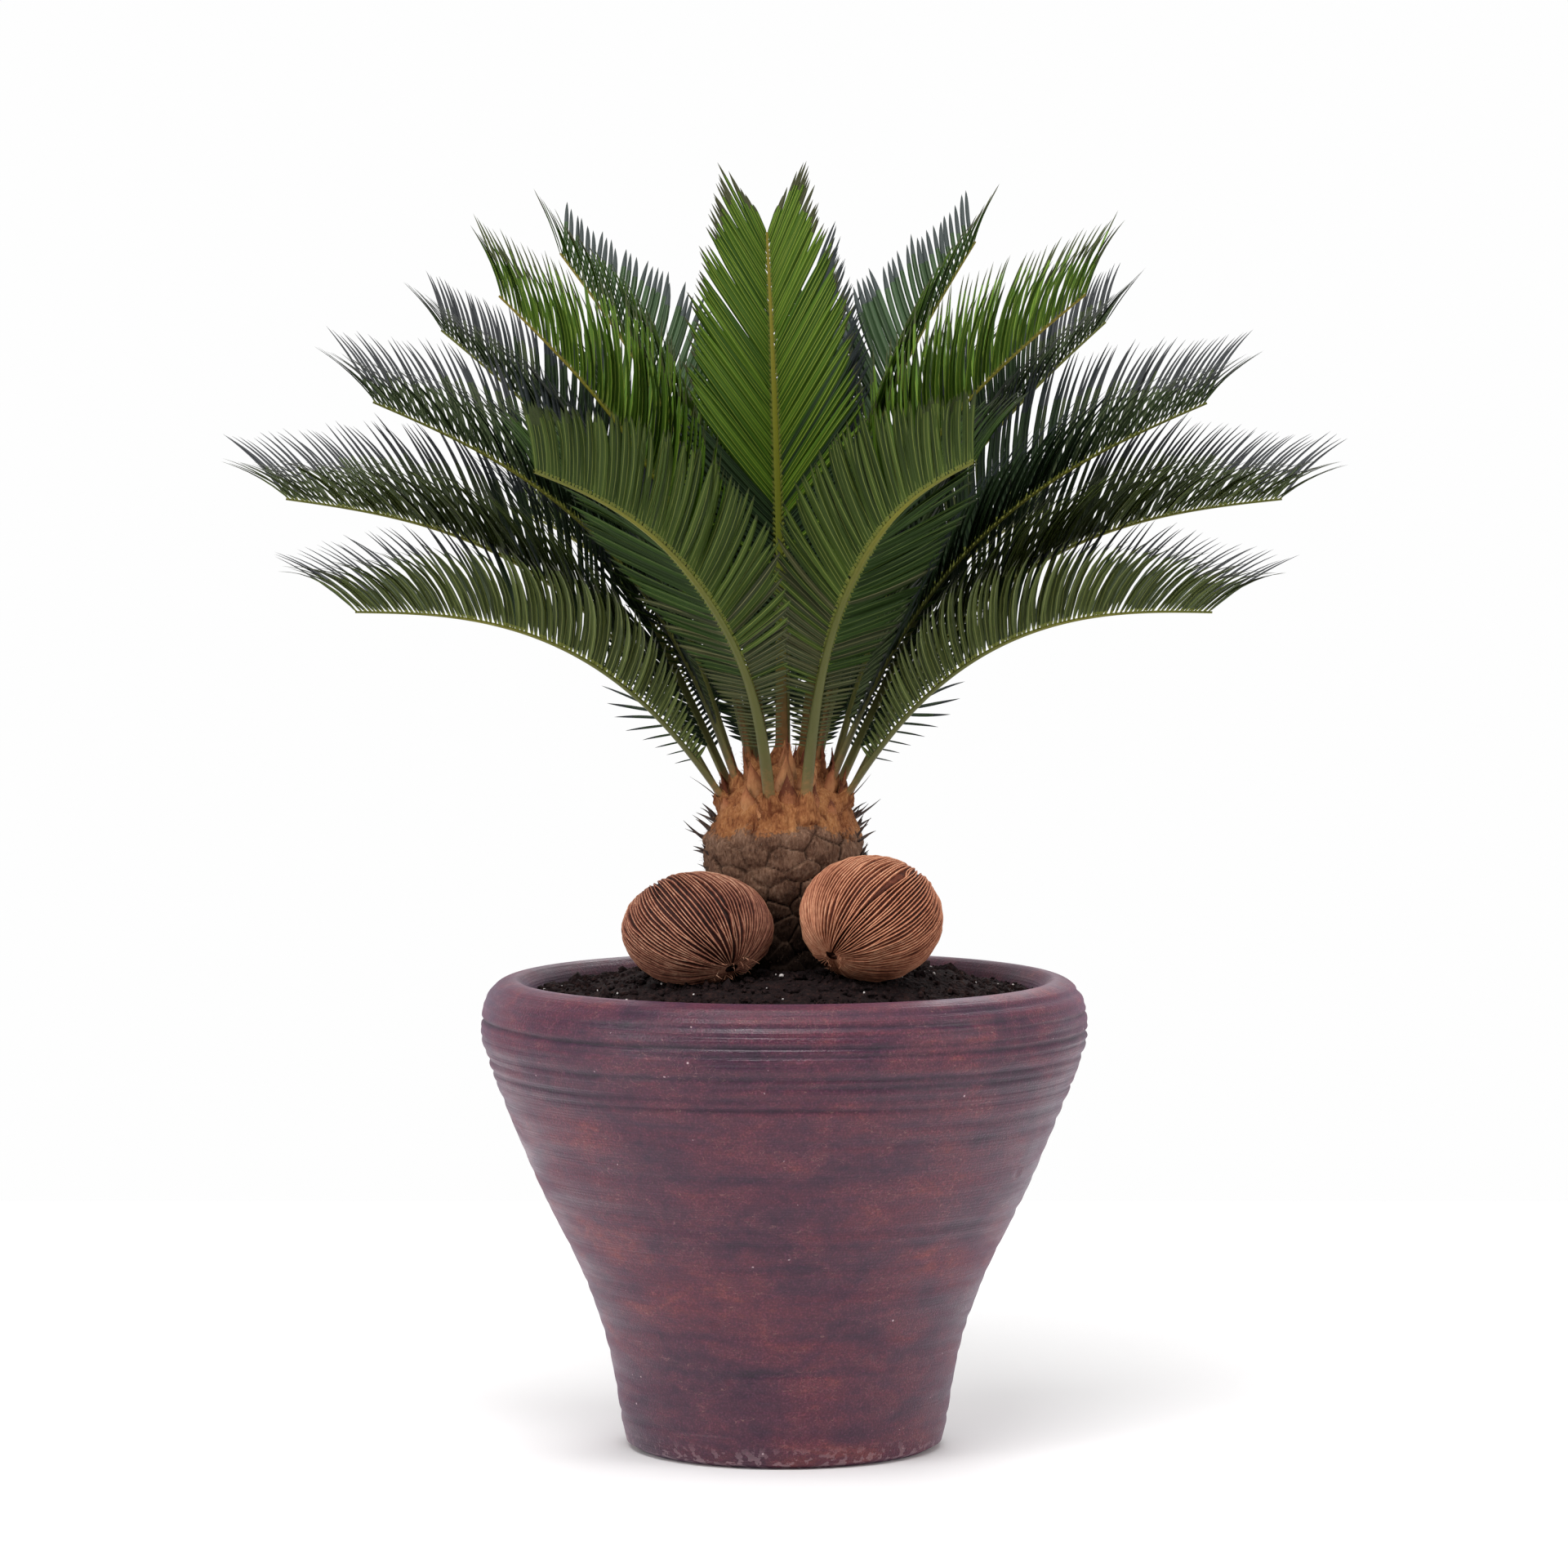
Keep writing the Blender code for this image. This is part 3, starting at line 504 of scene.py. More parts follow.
def fruit_fibre(name, stops):
    """Dry stringy fibre: dull, pale on its rubbed crests and dark where the pith shows between."""
    material, tree, shader = new_finish(name, 0.75)
    shader.inputs["Specular IOR Level"].default_value = 0.3
    place = node(tree, "TexCoord").outputs["Object"]
    crest = node(tree, "Attribute", attribute_name="crest").outputs["Fac"]
    flare = node(tree, "TexNoise", {"Vector": place, "Scale": 260, "Detail": 4,
                                    "Roughness": 0.65})
    patch = node(tree, "TexNoise", {"Vector": place, "Scale": 28, "Detail": 2})
    worn = node(tree, "Math", {0: flare.outputs["Fac"], 1: 0.6, 2: -0.3},
                operation="MULTIPLY_ADD")
    worn = node(tree, "Math", {0: patch.outputs["Fac"], 1: 0.5, 2: worn.outputs[0]},
                operation="MULTIPLY_ADD")
    shade = node(tree, "Math", {0: crest, 1: 0.62, 2: worn.outputs[0]}, operation="MULTIPLY_ADD")
    colour = node(tree, "ValToRGB", {"Fac": shade.outputs[0]}, stops=stops)
    tree.links.new(colour.outputs[0], shader.inputs["Base Color"])
    stringy = node(tree, "Bump", {"Strength": 0.6, "Distance": 0.0008,
                                  "Height": flare.outputs["Fac"]})
    tree.links.new(stringy.outputs[0], shader.inputs["Normal"])
    return material


# Dry fruit fibre: dull and stringy, blotched every 36 mm and flecked every 4 mm. The left husk has
# weathered to a dusty fawn over a dark pith, and the right one is still orange.
HUSK_FIBRES = {
    "husk_left": fruit_fibre("weathered fruit fibre", [
        (0.1, "#190805"), (0.36, "#451e15"), (0.62, "#804b3a"), (0.85, "#b37f64"),
        (1.05, "#d8b297"),
    ]),
    "husk_right": fruit_fibre("orange fruit fibre", [
        (0.1, "#220b05"), (0.34, "#612f1e"), (0.6, "#a26348"), (0.85, "#cb8f6e"),
        (1.05, "#dfb08f"),
    ]),
}

for name, husk in HUSKS.items():
    chance = np.random.default_rng(husk["seed"])
    # the pith, dented and sunk along the split and at the poles
    along = np.linspace(0.02, math.pi - 0.02, HUSK_ALONG)[:, None]
    around = np.arange(HUSK_AROUND)[None] / HUSK_AROUND * math.tau
    offset, openness = cleft_offset(husk, around, along)
    mean_radius = float(np.mean(husk["half"]))
    cut = np.exp(-((offset * np.sin(along) * mean_radius / husk["cut"]) ** 2)) * openness
    pit = sum(np.exp(-((near / PIT_SIZE) ** 2)) for near in (along, math.pi - along))
    body = husk_place(husk, around + 0 * along, along + 0 * around, 0.0 * cut)
    sunk = DENT_DEPTH * rough(body, DENTS) - PITH_DEPTH
    sunk = sunk - husk["cleft_depth"] * cut - PIT_DEPTH * pit + split_relief(husk, around, along)
    body = husk_place(husk, around + 0 * along, along + 0 * around, sunk).reshape(-1, 3)
    body_faces = grid_faces(HUSK_ALONG, HUSK_AROUND, closed=True)

    # the fibres, each a low ridge that thins out towards the poles
    along = np.linspace(0.1, math.pi - 0.1, STRAND_STEPS)[None]
    around = strand_angles(husk, chance, along)
    around = beside_split(husk, around, along, husk["cut"] / (mean_radius * np.sin(along) + 2.0))
    count = len(around)
    crest_height = chance.uniform(*STRAND_HEIGHTS, (count, 1)) * (0.75 + 0.25 * np.sin(
        along * chance.uniform(4, 11, (count, 1)) + chance.uniform(0, 6, (count, 1))))
    crest_height = crest_height * np.minimum(1.0, np.sin(along) * 3.0)
    half_width = chance.uniform(*STRAND_HALF_WIDTHS, (count, 1))
    half_width = half_width * np.minimum(1.0, 0.25 + np.sin(along))
    turn = half_width / (mean_radius * np.sin(along) + 0.4)
    lie = DENT_DEPTH * rough(husk_place(husk, around, along + 0 * around, 0 * around), DENTS)
    lie = lie + split_relief(husk, around, along)
    strand = np.stack([
        husk_place(husk, around + turn * side, along + 0 * around,
                   lie + rise * crest_height - drop)
        for side, rise, drop in STRAND_SECTION
    ], axis=2)
    wide = len(STRAND_SECTION)
    strand_faces = repeated(grid_faces(STRAND_STEPS, wide)[:, ::-1], count, STRAND_STEPS * wide,
                            start=len(body))
    crest_marks = np.broadcast_to([s[1] for s in STRAND_SECTION], (count, STRAND_STEPS, wide))
    # painted shade: the split and the poles' pits take a crest mark below zero, which turns them
    # near black
    marks = np.concatenate([-0.3 * np.minimum(1.0, cut + pit).ravel(), np.ravel(crest_marks)])

    # loose ends of fibre, two faces each, that stand off near the pole
    tips = []
    for _ in range(LOOSE_FIBRES):
        turn_at, down = chance.uniform(0, math.tau), chance.uniform(0.08, 0.3)
        root, off = (husk_place(husk, np.array(turn_at), np.array(down), np.array(p))
                     for p in (0.0, chance.uniform(3, 8)))
        off = off + chance.normal(0, 1.8, 3)
        middle = (root + off) / 2 + chance.normal(0, 1.0, 3)
        thin = np.array((0.22, 0.0, 0.22))
        tips.append([root - thin, root + thin, middle + thin * 0.7, middle - thin * 0.7,
                     off, off + thin * 0.1])
    tips = np.array(tips)
    tip_faces = repeated(np.array([(0, 1, 2, 3), (3, 2, 5, 4)]), LOOSE_FIBRES, 6,
                         start=len(body) + STRAND_STEPS * wide * count)
    points = np.vstack([body, strand.reshape(-1, 3), tips.reshape(-1, 3)])
    marks = np.concatenate([marks, np.full(tips.shape[0] * 6, 0.9)])
    piece = new_piece("fibrous_" + name, points * MM,
                      np.vstack([body_faces, strand_faces, tip_faces]), [HUSK_FIBRES[name]],
                      marks={"crest": marks})
    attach(piece, "root")
    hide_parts(name)

# The trunk. A squat bulb wrapped in the stumps of old leaves and felted over with wool: brown and
# weathered below, where the stumps show as soft pads with crevices between them, and fresh orange
# above, where it gathers in upright folds and stands in pointed tongues among the living stalks.
TRUNK_COLUMNS = 384
TRUNK_STEP = 1.0
# radius, and height above the soil's top, in mm
TRUNK_SIDE = [
    (32, 0), (35, 12), (39, 25), (43.5, 38), (48, 51), (50.5, 64), (51.5, 77), (50.5, 88),
    (46.5, 96), (43.5, 104), (40, 111), (34, 118), (26, 126), (16, 132), (2, 135),
]
# the pads: how many in a row, the rows' heights in mm, the radius that they are laid out on, and
# their half sizes across and up
PADS_ROUND = 14
PADS_FROM = -4.0
PADS_TO = 108.0
PAD_ROW = 11.5
PAD_RADIUS = 48.0
PAD_WIDTHS = (9.5, 14.5)
PAD_HEIGHTS = (7.0, 11.5)
CREVICE_WIDTH = 0.09
CREVICE_DEPTH = 2.6
# height at which the old brown felt turns to fresh orange wool, and over how many mm it does
FRESH_FROM = 91.0
FRESH_OVER = 16.0
FOLD_DEPTH = 2.6
CRACK_DEPTH = 1.8
# azimuth in degrees, where -90 is the front, and height of two deep slits in the fresh wool
SLITS = ((-116.0, 92.0), (-79.0, 90.0))
SLIT_WIDTH = 1.7
SLIT_HEIGHT = 6.0
WOOL_SEED = 21


def bulb_radius(height):
    """The bulb's radius in mm at a height above the soil's top."""
    radii, heights = np.array(TRUNK_SIDE, float).T
    return np.interp(height, heights, radii)


def stump_pads(angle, height, chance):
    """Relief in mm of the old leaf stumps, and how far into a crevice each place lies."""
    distances, rises, opens = [], [], []
    for row, low in enumerate(np.arange(PADS_FROM, PADS_TO, PAD_ROW)):
        for k in range(PADS_ROUND):
            turn = (k + 0.5 * (row % 2) + chance.uniform(-0.3, 0.3)) / PADS_ROUND * math.tau
            across = ((angle - turn + math.pi) % math.tau - math.pi) * PAD_RADIUS
            above = height - low - chance.uniform(-3.5, 3.5)
            skew = chance.uniform(-0.5, 0.5)
            wide = (across * math.cos(skew) + above * math.sin(skew)) / chance.uniform(*PAD_WIDTHS)
            tall = (above * math.cos(skew) - across * math.sin(skew)) / chance.uniform(*PAD_HEIGHTS)
            distance = np.sqrt(wide**2 + tall**2)
            distances.append(distance)
            # a pad is domed, tilted, and higher or lower than its neighbours; few gaps are deep
            rises.append(chance.uniform(-1.0, 1.2) + chance.uniform(0.5, 2.2) * (
                1.0 - np.minimum(distance, 1.2) ** 2) + chance.uniform(0.2, 2.0) * tall)
            opens.append(chance.uniform(0.0, 1.0) ** 1.6)
    # each place belongs to its nearest pad, and a crevice runs where two are equally near
    distances = np.array(distances)
    nearest = np.partition(distances, 1, axis=0)[:2]
    weights = np.exp((nearest[0] - distances) / 0.05)
    weights /= np.sum(weights, axis=0)
    crevice = np.exp(-(((nearest[1] - nearest[0]) / CREVICE_WIDTH) ** 2))
    crevice *= np.clip(1.4 * np.tensordot(opens, weights, axes=1) + 0.12, 0.0, 1.0)
    return 1.1 * np.sum(weights * np.array(rises), axis=0) - CREVICE_DEPTH * crevice, crevice


def unit_out(points):
    """The level way out from the trunk's axis at each point."""
    outward = points * (1, 1, 0)
    return outward / np.maximum(np.linalg.norm(outward, axis=-1), 1.0)[..., None]


def roughened(sheets, coarse, fine):
    """Sheets with their wool's lumps and tufts: every point is moved in or out from the axis."""
    moved = coarse * rough(sheets, 0.09) + fine * rough(sheets + 300.0, 0.38)
    return sheets + unit_out(sheets) * moved[..., None]


def combed_wool(tree, place, size):
    """Noise drawn out upwards, as wool lies, at a number of hairs per metre."""
    combed = node(tree, "Mapping", {"Vector": place, "Scale": (1, 1, 0.3)}).outputs[0]
    return node(tree, "TexNoise", {"Vector": combed, "Scale": size, "Detail": 5,
                                   "Roughness": 0.72}).outputs["Fac"]


# Trunk felt: matted and dusty grey-brown on the old stumps and pale orange where it is fresh.
# Painted shade makes it near black in the crevices and red-brown in the fresh wool's cracks and
# slits, and a painted shadow darkens the bulb's foot. It is patched every 14 mm. The hair is
# drawn 1.6 mm wide, coarser than life, so that it shows.
trunk_felt, tree, shader = new_finish("felted trunk wool", 0.9)
shader.inputs["Specular IOR Level"].default_value = 0.2
place = node(tree, "TexCoord").outputs["Object"]
hair = combed_wool(tree, place, 640)
patches = node(tree, "TexNoise", {"Vector": place, "Scale": 70, "Detail": 3}).outputs["Fac"]
tufted = node(tree, "Math", {0: hair, 1: 0.6}, operation="MULTIPLY")
tufted = node(tree, "Math", {0: patches, 1: 0.4, 2: tufted.outputs[0]}, operation="MULTIPLY_ADD")
brown = node(tree, "ValToRGB", {"Fac": tufted.outputs[0]}, stops=[
    (0.34, "#3c271d"), (0.45, "#6d4d3c"), (0.55, "#8c6a55"), (0.7, "#b19079"),
])
orange = node(tree, "ValToRGB", {"Fac": tufted.outputs[0]}, stops=[
    (0.34, "#5c2e1a"), (0.44, "#8e5634"), (0.55, "#b07649"), (0.7, "#cd9966"),
])
fresh = node(tree, "Attribute", attribute_name="fresh").outputs["Fac"]
ragged = node(tree, "Math", {0: hair, 1: 1.6, 2: -0.8}, operation="MULTIPLY_ADD")
ragged = node(tree, "Math", {0: ragged.outputs[0], 1: fresh}, operation="ADD")
ragged = node(tree, "MapRange", {"Value": ragged.outputs[0], "From Min": 0.3, "From Max": 0.7})
felt = node(tree, "Mix", {
    0: ragged.outputs[0], 6: brown.outputs[0], 7: orange.outputs[0],
}, data_type="RGBA")
# painted shadow: the bulb's foot darkens to near black up to about 7 cm above the soil, blotched by
# the patches
low_down = node(tree, "SeparateXYZ", {0: place}).outputs["Z"]
low_down = node(tree, "Math", {0: patches, 1: 0.03, 2: low_down}, operation="MULTIPLY_ADD")
darkened = node(tree, "MapRange", {"Value": low_down.outputs[0], "From Min": 0.342,
                                  "From Max": 0.392, "To Min": 0.88, "To Max": 0.0})
felt = node(tree, "Mix", {0: darkened.outputs[0], 6: felt.outputs[2], 7: linear("#120b07")},
            data_type="RGBA")
# painted shade: crevices and cracks turn near black in the old felt and red-brown in the fresh wool
crevice_shade = node(tree, "Attribute", attribute_name="crevice").outputs["Fac"]
deep = node(tree, "Mix", {0: fresh, 6: linear("#170e0a"), 7: linear("#5a2514")},
            data_type="RGBA")
felt = node(tree, "Mix", {0: crevice_shade, 6: felt.outputs[2], 7: deep.outputs[2]},
            data_type="RGBA")
tree.links.new(felt.outputs[2], shader.inputs["Base Color"])
fur = node(tree, "Bump", {"Strength": 1.0, "Distance": 0.0022, "Height": hair})
tree.links.new(fur.outputs[0], shader.inputs["Normal"])

chance = np.random.default_rng(WOOL_SEED)
side = smooth_line(TRUNK_SIDE, TRUNK_STEP)
angle = np.arange(TRUNK_COLUMNS)[None] / TRUNK_COLUMNS * math.tau + 0 * side[:, :1]
height = side[:, 1:] + 0 * angle
pad_relief, crevice = stump_pads(angle, height, chance)
smooth_bulb = turned_about(side[:, :1], angle, height)
# the border of the fresh wool drifts up and down and is tufted, and its folds run upright
drift = rough(smooth_bulb, 0.035, 2)
tuft = rough(smooth_bulb + 500.0, 0.45)
upright = smooth_bulb * (1.0, 1.0, 0.2)
fold = rough(upright, 0.075, 2)
crack = np.exp(-((rough(upright + 70.0, 0.06, 2) / 0.07) ** 2))
crack *= 0.35 + 0.65 * (drift > -0.05)
for slit_at, slit_up in SLITS:
    away = np.degrees((angle - math.radians(slit_at) + math.pi) % math.tau - math.pi) / SLIT_WIDTH
    crack = np.maximum(crack, 1.6 * np.exp(-away**2 - ((height - slit_up) / SLIT_HEIGHT) ** 2))
# the folds start 8 mm below the fresh wool's border and are full 13 mm above that
folded = ease((height - FRESH_FROM + 8.0 - 10.0 * drift) / 13.0)
relief = blend(pad_relief, FOLD_DEPTH * fold - CRACK_DEPTH * crack, folded)
# lumps of 8 mm, tufts of 2 mm and matted hair of 1 mm lie over both
relief += 0.7 * rough(smooth_bulb + 90.0, 0.13) + 0.5 * tuft
relief += 0.3 * rough(smooth_bulb + 900.0, 1.0, 2)
relief *= np.minimum(1.0, side[:, :1] / 30.0)
fresh_mark = ease((height - FRESH_FROM - 14.0 * drift - 8.0 * tuft) / FRESH_OVER + 0.5)
felted = (smooth_bulb + unit_out(smooth_bulb) * relief[..., None]).reshape(-1, 3)
felted[:, 2] += SOIL_TOP
# the crevice mark paints shade into the crevices between the pads and into the cracks and slits
bulb = new_piece(
    "trunk_felt", felted * MM, grid_faces(len(side), TRUNK_COLUMNS, closed=True),
    [trunk_felt], marks={"fresh": fresh_mark,
                         "crevice": np.clip(blend(crevice, 0.75 * crack, folded), 0, 1)})
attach(bulb, "root")
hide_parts("trunk")

# The tongues. Thin pointed scale leaves that guard the crown, in five rows one inside the other,
# each as wide as a stalk or wider, felted with fresh wool on both faces.
SCALE_ROWS = 13
SCALE_COLUMNS = 11
# height on the bulb, distance out, count, width, length, bluntness, lean and bulge of each row
TONGUE_ROWS = (
    (97.0, 44.5, 10, 21.0, 22.0, 2.2, -0.10, 3.0), (104.0, 41.5, 10, 20.0, 27.0, 1.9, 0.0, 3.2),
    (112.0, 36.0, 10, 17.0, 31.0, 1.6, 0.0, 2.8), (119.0, 28.0, 9, 14.0, 30.0, 1.3, 0.0, 2.2),
    (127.0, 16.0, 7, 10.0, 26.0, 1.1, 0.0, 1.4),
)


def scale_sheets(scales):
    """Leaf scales as curved sheets: points by scale, row and column, and their place marks."""
    def column(name):
        return np.array([scale[name] for scale in scales])[:, None, None]
    along = np.linspace(0.0, 1.0, SCALE_ROWS)[None, :, None]
    across = np.linspace(-1.0, 1.0, SCALE_COLUMNS)[None, None, :]
    # widest at a third of its length, domed across, and with its edges pulled in at the foot and
    # lower than its middle at the tip
    taper = (0.7 + 0.3 * np.sin(math.pi * along)) * (1.0 - along ** column("blunt"))
    dome = (1.0 - across**2) ** 0.75 * np.sin(math.pi * np.clip(0.12 + 0.8 * along, 0, 1))
    out = column("base_radius") + np.sin(column("lean")) * column("length") * along
    out = out + column("bulge") * dome + column("curl") * along**3
    out = out - 2.2 * across**2 * (1.0 - along)
    up = column("base_height") + np.cos(column("lean")) * column("length") * along
    up = up - 0.12 * column("length") * across**2 * along
    swing = (across * taper * column("width") / 2 + column("sway") * along) / np.maximum(out, 6.0)
    angle = column("azimuth") + swing
    return turned_about(out, angle, up), along + 0 * angle, np.abs(across) + 0 * angle


# Tongue wool: the same felt on the thin scales, pale orange at their feet and red-brown at their
# pointed tips and along their rims, with hair drawn 1.4 mm wide.
tongue_felt, tree, shader = new_finish("fresh scale wool", 0.85)
shader.inputs["Specular IOR Level"].default_value = 0.25
place = node(tree, "TexCoord").outputs["Object"]
hair = combed_wool(tree, place, 700)
shade = node(tree, "Attribute", attribute_name="along").outputs["Fac"]
shade = node(tree, "Math", {0: hair, 1: 0.7, 2: shade}, operation="MULTIPLY_ADD")
wool = node(tree, "ValToRGB", {"Fac": shade.outputs[0]}, stops=[
    (0.3, "#c8946a"), (0.55, "#bd8558"), (0.85, "#a36744"), (1.1, "#8a5335"), (1.4, "#6b3b27"),
])
edge = node(tree, "Attribute", attribute_name="edge").outputs["Fac"]
rim = node(tree, "Math", {0: edge, 1: 4.0}, operation="POWER")
rim = node(tree, "Math", {0: rim.outputs[0], 1: 0.8}, operation="MULTIPLY")
wool = node(tree, "Mix", {0: rim.outputs[0], 6: wool.outputs[0], 7: linear("#6b321d")},
            data_type="RGBA")
tree.links.new(wool.outputs[2], shader.inputs["Base Color"])
fur = node(tree, "Bump", {"Strength": 0.8, "Distance": 0.0016, "Height": hair})
tree.links.new(fur.outputs[0], shader.inputs["Normal"])

tongues = []
for height_up, out, count, width, length, blunt, lean, bulge in TONGUE_ROWS:
    for k in range(count):
        tongues.append({
            "azimuth": (k + 0.37 * height_up + chance.uniform(-0.25, 0.25)) / count * math.tau,
            "base_height": SOIL_TOP + height_up + chance.uniform(-2.5, 2.5),
            "base_radius": out - 2.5, "width": width * chance.uniform(0.7, 1.2),
            "length": length * chance.uniform(0.7, 1.2), "blunt": blunt,
            "lean": lean + chance.uniform(-0.06, 0.14), "bulge": bulge * chance.uniform(0.7, 1.3),
            "curl": chance.uniform(-1.5, 3.5), "sway": chance.uniform(-4.0, 4.0),
        })
tongue_points, tongue_along, tongue_edge = scale_sheets(tongues)
tongue_along = 0.8 * tongue_along + chance.uniform(-0.2, 0.25, (len(tongues), 1, 1))
tongue_points = roughened(tongue_points, 1.3, 0.8)
tongue_faces = repeated(grid_faces(SCALE_ROWS, SCALE_COLUMNS), len(tongues),
                        SCALE_ROWS * SCALE_COLUMNS)
wool_tongues = new_piece("trunk_wool_tongues", tongue_points.reshape(-1, 3) * MM, tongue_faces,
                         [tongue_felt], marks={"along": tongue_along, "edge": tongue_edge})
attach(wool_tongues, "root")
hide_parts("trunk")

# The quills. Dry ends of old leaf stalks and scale tips that stand out of the bulb at the sides and
# the back, singly or in twos and threes.
QUILL_GROUPS = 46
QUILL_STEPS = 5
QUILL_WIDTHS = (1.5, 2.8)
QUILL_LENGTHS = (7, 15)
# the first groups stand at the sides, where they show
SIDE_GROUPS = 12
# heights of the groups at the sides, and azimuths in radians of three long thin ones at the top
SIDE_HEIGHTS = (96.0, 84.0, 66.0, 52.0, 74.0, 90.0)
LONG_QUILLS = (math.pi - 0.05, 0.05, 1.9)

# Dead leaf stalk: hard, dull and nearly black-brown, weathered paler in blotches of 3 mm.
dead_quill, tree, shader = new_finish("dead leaf stalk", 0.6)
place = node(tree, "TexCoord").outputs["Object"]
dry = node(tree, "TexNoise", {"Vector": place, "Scale": 300, "Detail": 4})
dull = node(tree, "ValToRGB", {"Fac": dry.outputs["Fac"]}, stops=[
    (0.3, "#2a1f1b"), (0.6, "#4b3a32"), (0.75, "#6a5548"),
])
tree.links.new(dull.outputs[0], shader.inputs["Base Color"])


def quills(roots, ways, lengths, widths, chance):
    """Tapering four-sided spikes, each bent a little on its way out."""
    steps = np.linspace(0.0, 1.0, QUILL_STEPS)[None, :, None]
    bent = chance.normal(0, 0.16, roots.shape)
    line = roots[:, None] + ways[:, None] * steps * lengths[:, None, None]
    line = line + bent[:, None] * steps**2 * lengths[:, None, None]
    side = np.cross(ways, (0, 0, 1.0))
    side /= np.linalg.norm(side, axis=1)[:, None] + 1e-9
    other = np.cross(ways, side)
    thick = (widths[:, None, None] / 2) * (1.0 - 0.93 * steps**1.5)
    corners = [line + thick * (side[:, None] * a + other[:, None] * b)
               for a, b in ((1, 0), (0, 1), (-1, 0), (0, -1))]
    faces = repeated(grid_faces(QUILL_STEPS, 4, closed=True), len(roots), QUILL_STEPS * 4)
    return np.stack(corners, axis=2).reshape(-1, 3), faces


roots, ways, lengths, widths = [], [], [], []
for k in range(QUILL_GROUPS):
    if k < SIDE_GROUPS:
        azimuth = chance.uniform(-0.3, 0.3) + math.pi * (k % 2)
        up = SIDE_HEIGHTS[k // 2]
    else:
        azimuth = chance.uniform(-0.35, math.pi + 0.35)
        up = chance.uniform(45, 100)
    for _ in range(chance.integers(1, 4)):
        turned = azimuth + chance.normal(0, 0.06)
        lift = math.radians(chance.uniform(20, 62))
        out = float(bulb_radius(up)) - 1.0
        roots.append((out * math.cos(turned), out * math.sin(turned),
                      SOIL_TOP + up + chance.uniform(-2, 2)))
        ways.append((math.cos(turned) * math.cos(lift), math.sin(turned) * math.cos(lift),
                     math.sin(lift)))
        lengths.append(chance.uniform(*QUILL_LENGTHS) * (1.25 if up > 80 else 0.8))
        widths.append(chance.uniform(*QUILL_WIDTHS))
for azimuth in LONG_QUILLS:
    roots.append((44 * math.cos(azimuth), 44 * math.sin(azimuth), SOIL_TOP + 112))
    ways.append((0.72 * math.cos(azimuth), 0.72 * math.sin(azimuth), 0.7))
    lengths.append(20.0)
    widths.append(0.9)
quill_points, quill_faces = quills(*map(np.array, (roots, ways, lengths, widths)), chance)
quill_piece = new_piece("trunk_quills", quill_points * MM, quill_faces, [dead_quill])
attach(quill_piece, "root")
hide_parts("trunk")

# The hair. Single strands of wool, 1.5 to 4.5 mm long, that stand off the felt and the tongues
# all over. Each is one flat blade, wider than life so that it shows.
HAIRS = 9000
HAIR_LENGTHS = (1.5, 4.5)
HAIR_HALF_WIDTH = 0.14

# Loose wool: the same brown and orange as the felt under it, dry and dull, in tints of 2 mm.
straw_hair, tree, shader = new_finish("loose wool", 0.8)
place = node(tree, "TexCoord").outputs["Object"]
zone = node(tree, "SeparateXYZ", {0: place})
tint = node(tree, "TexNoise", {"Vector": place, "Scale": 500, "Detail": 1})
fresh = node(tree, "MapRange", {"Value": zone.outputs["Z"], "From Min": 0.404, "From Max": 0.416})
brown = node(tree, "ValToRGB", {"Fac": tint.outputs["Fac"]}, stops=[
    (0.3, "#3d2c24"), (0.7, "#8b6f5d"),
])
orange = node(tree, "ValToRGB", {"Fac": tint.outputs["Fac"]}, stops=[
    (0.3, "#824a2b"), (0.7, "#c58f5e"),
])
hair_colour = node(tree, "Mix", {
    0: fresh.outputs[0], 6: brown.outputs[0], 7: orange.outputs[0],
}, data_type="RGBA")
tree.links.new(hair_colour.outputs[2], shader.inputs["Base Color"])

felt_seen = felted[(felted[:, 2] > SOIL_TOP + 4) & (np.hypot(felted[:, 0], felted[:, 1]) > 25)]
wool_points = np.vstack([felt_seen[::4], tongue_points[:, 1:-2].reshape(-1, 3)])
picked = chance.integers(0, len(wool_points), HAIRS)
roots = wool_points[picked] + chance.normal(0, 0.8, (HAIRS, 3))
outward = unit_out(roots)
ways = outward * chance.uniform(0.1, 0.7, (HAIRS, 1)) + chance.normal(0, 0.35, (HAIRS, 3))
ways[:, 2] += 0.55
ways /= np.linalg.norm(ways, axis=1)[:, None]
side = np.cross(ways, outward)
side /= np.linalg.norm(side, axis=1)[:, None] + 1e-9
lengths = chance.uniform(*HAIR_LENGTHS, (HAIRS, 1))
hair_points = np.stack([roots - side * HAIR_HALF_WIDTH, roots + side * HAIR_HALF_WIDTH,
                        roots + ways * lengths], axis=1)
hair_faces = np.arange(3 * HAIRS).reshape(-1, 3)
hair = new_piece("trunk_wool_hairs", hair_points.reshape(-1, 3) * MM, hair_faces, [straw_hair])
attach(hair, "root")
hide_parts("trunk")

# The fronds. Each is one stiff leaf: a stalk seated in the wool, and two ranks of narrow, pointed,
# slightly rolled leaflets that start as short spines and grow to full length. They follow the
# same rule of heading, angle and length as the solids, carried to every single leaflet.
RIB_STEPS = 108
ROOT_DEPTH = 14.0
# distance out from the axis and height of each ring of seats, in mm
RINGS = {"outer": (42.0, 431.0), "middle": (33.0, 443.0), "inner": (22.0, 454.0),
         "heart": (8.0, 461.0)}
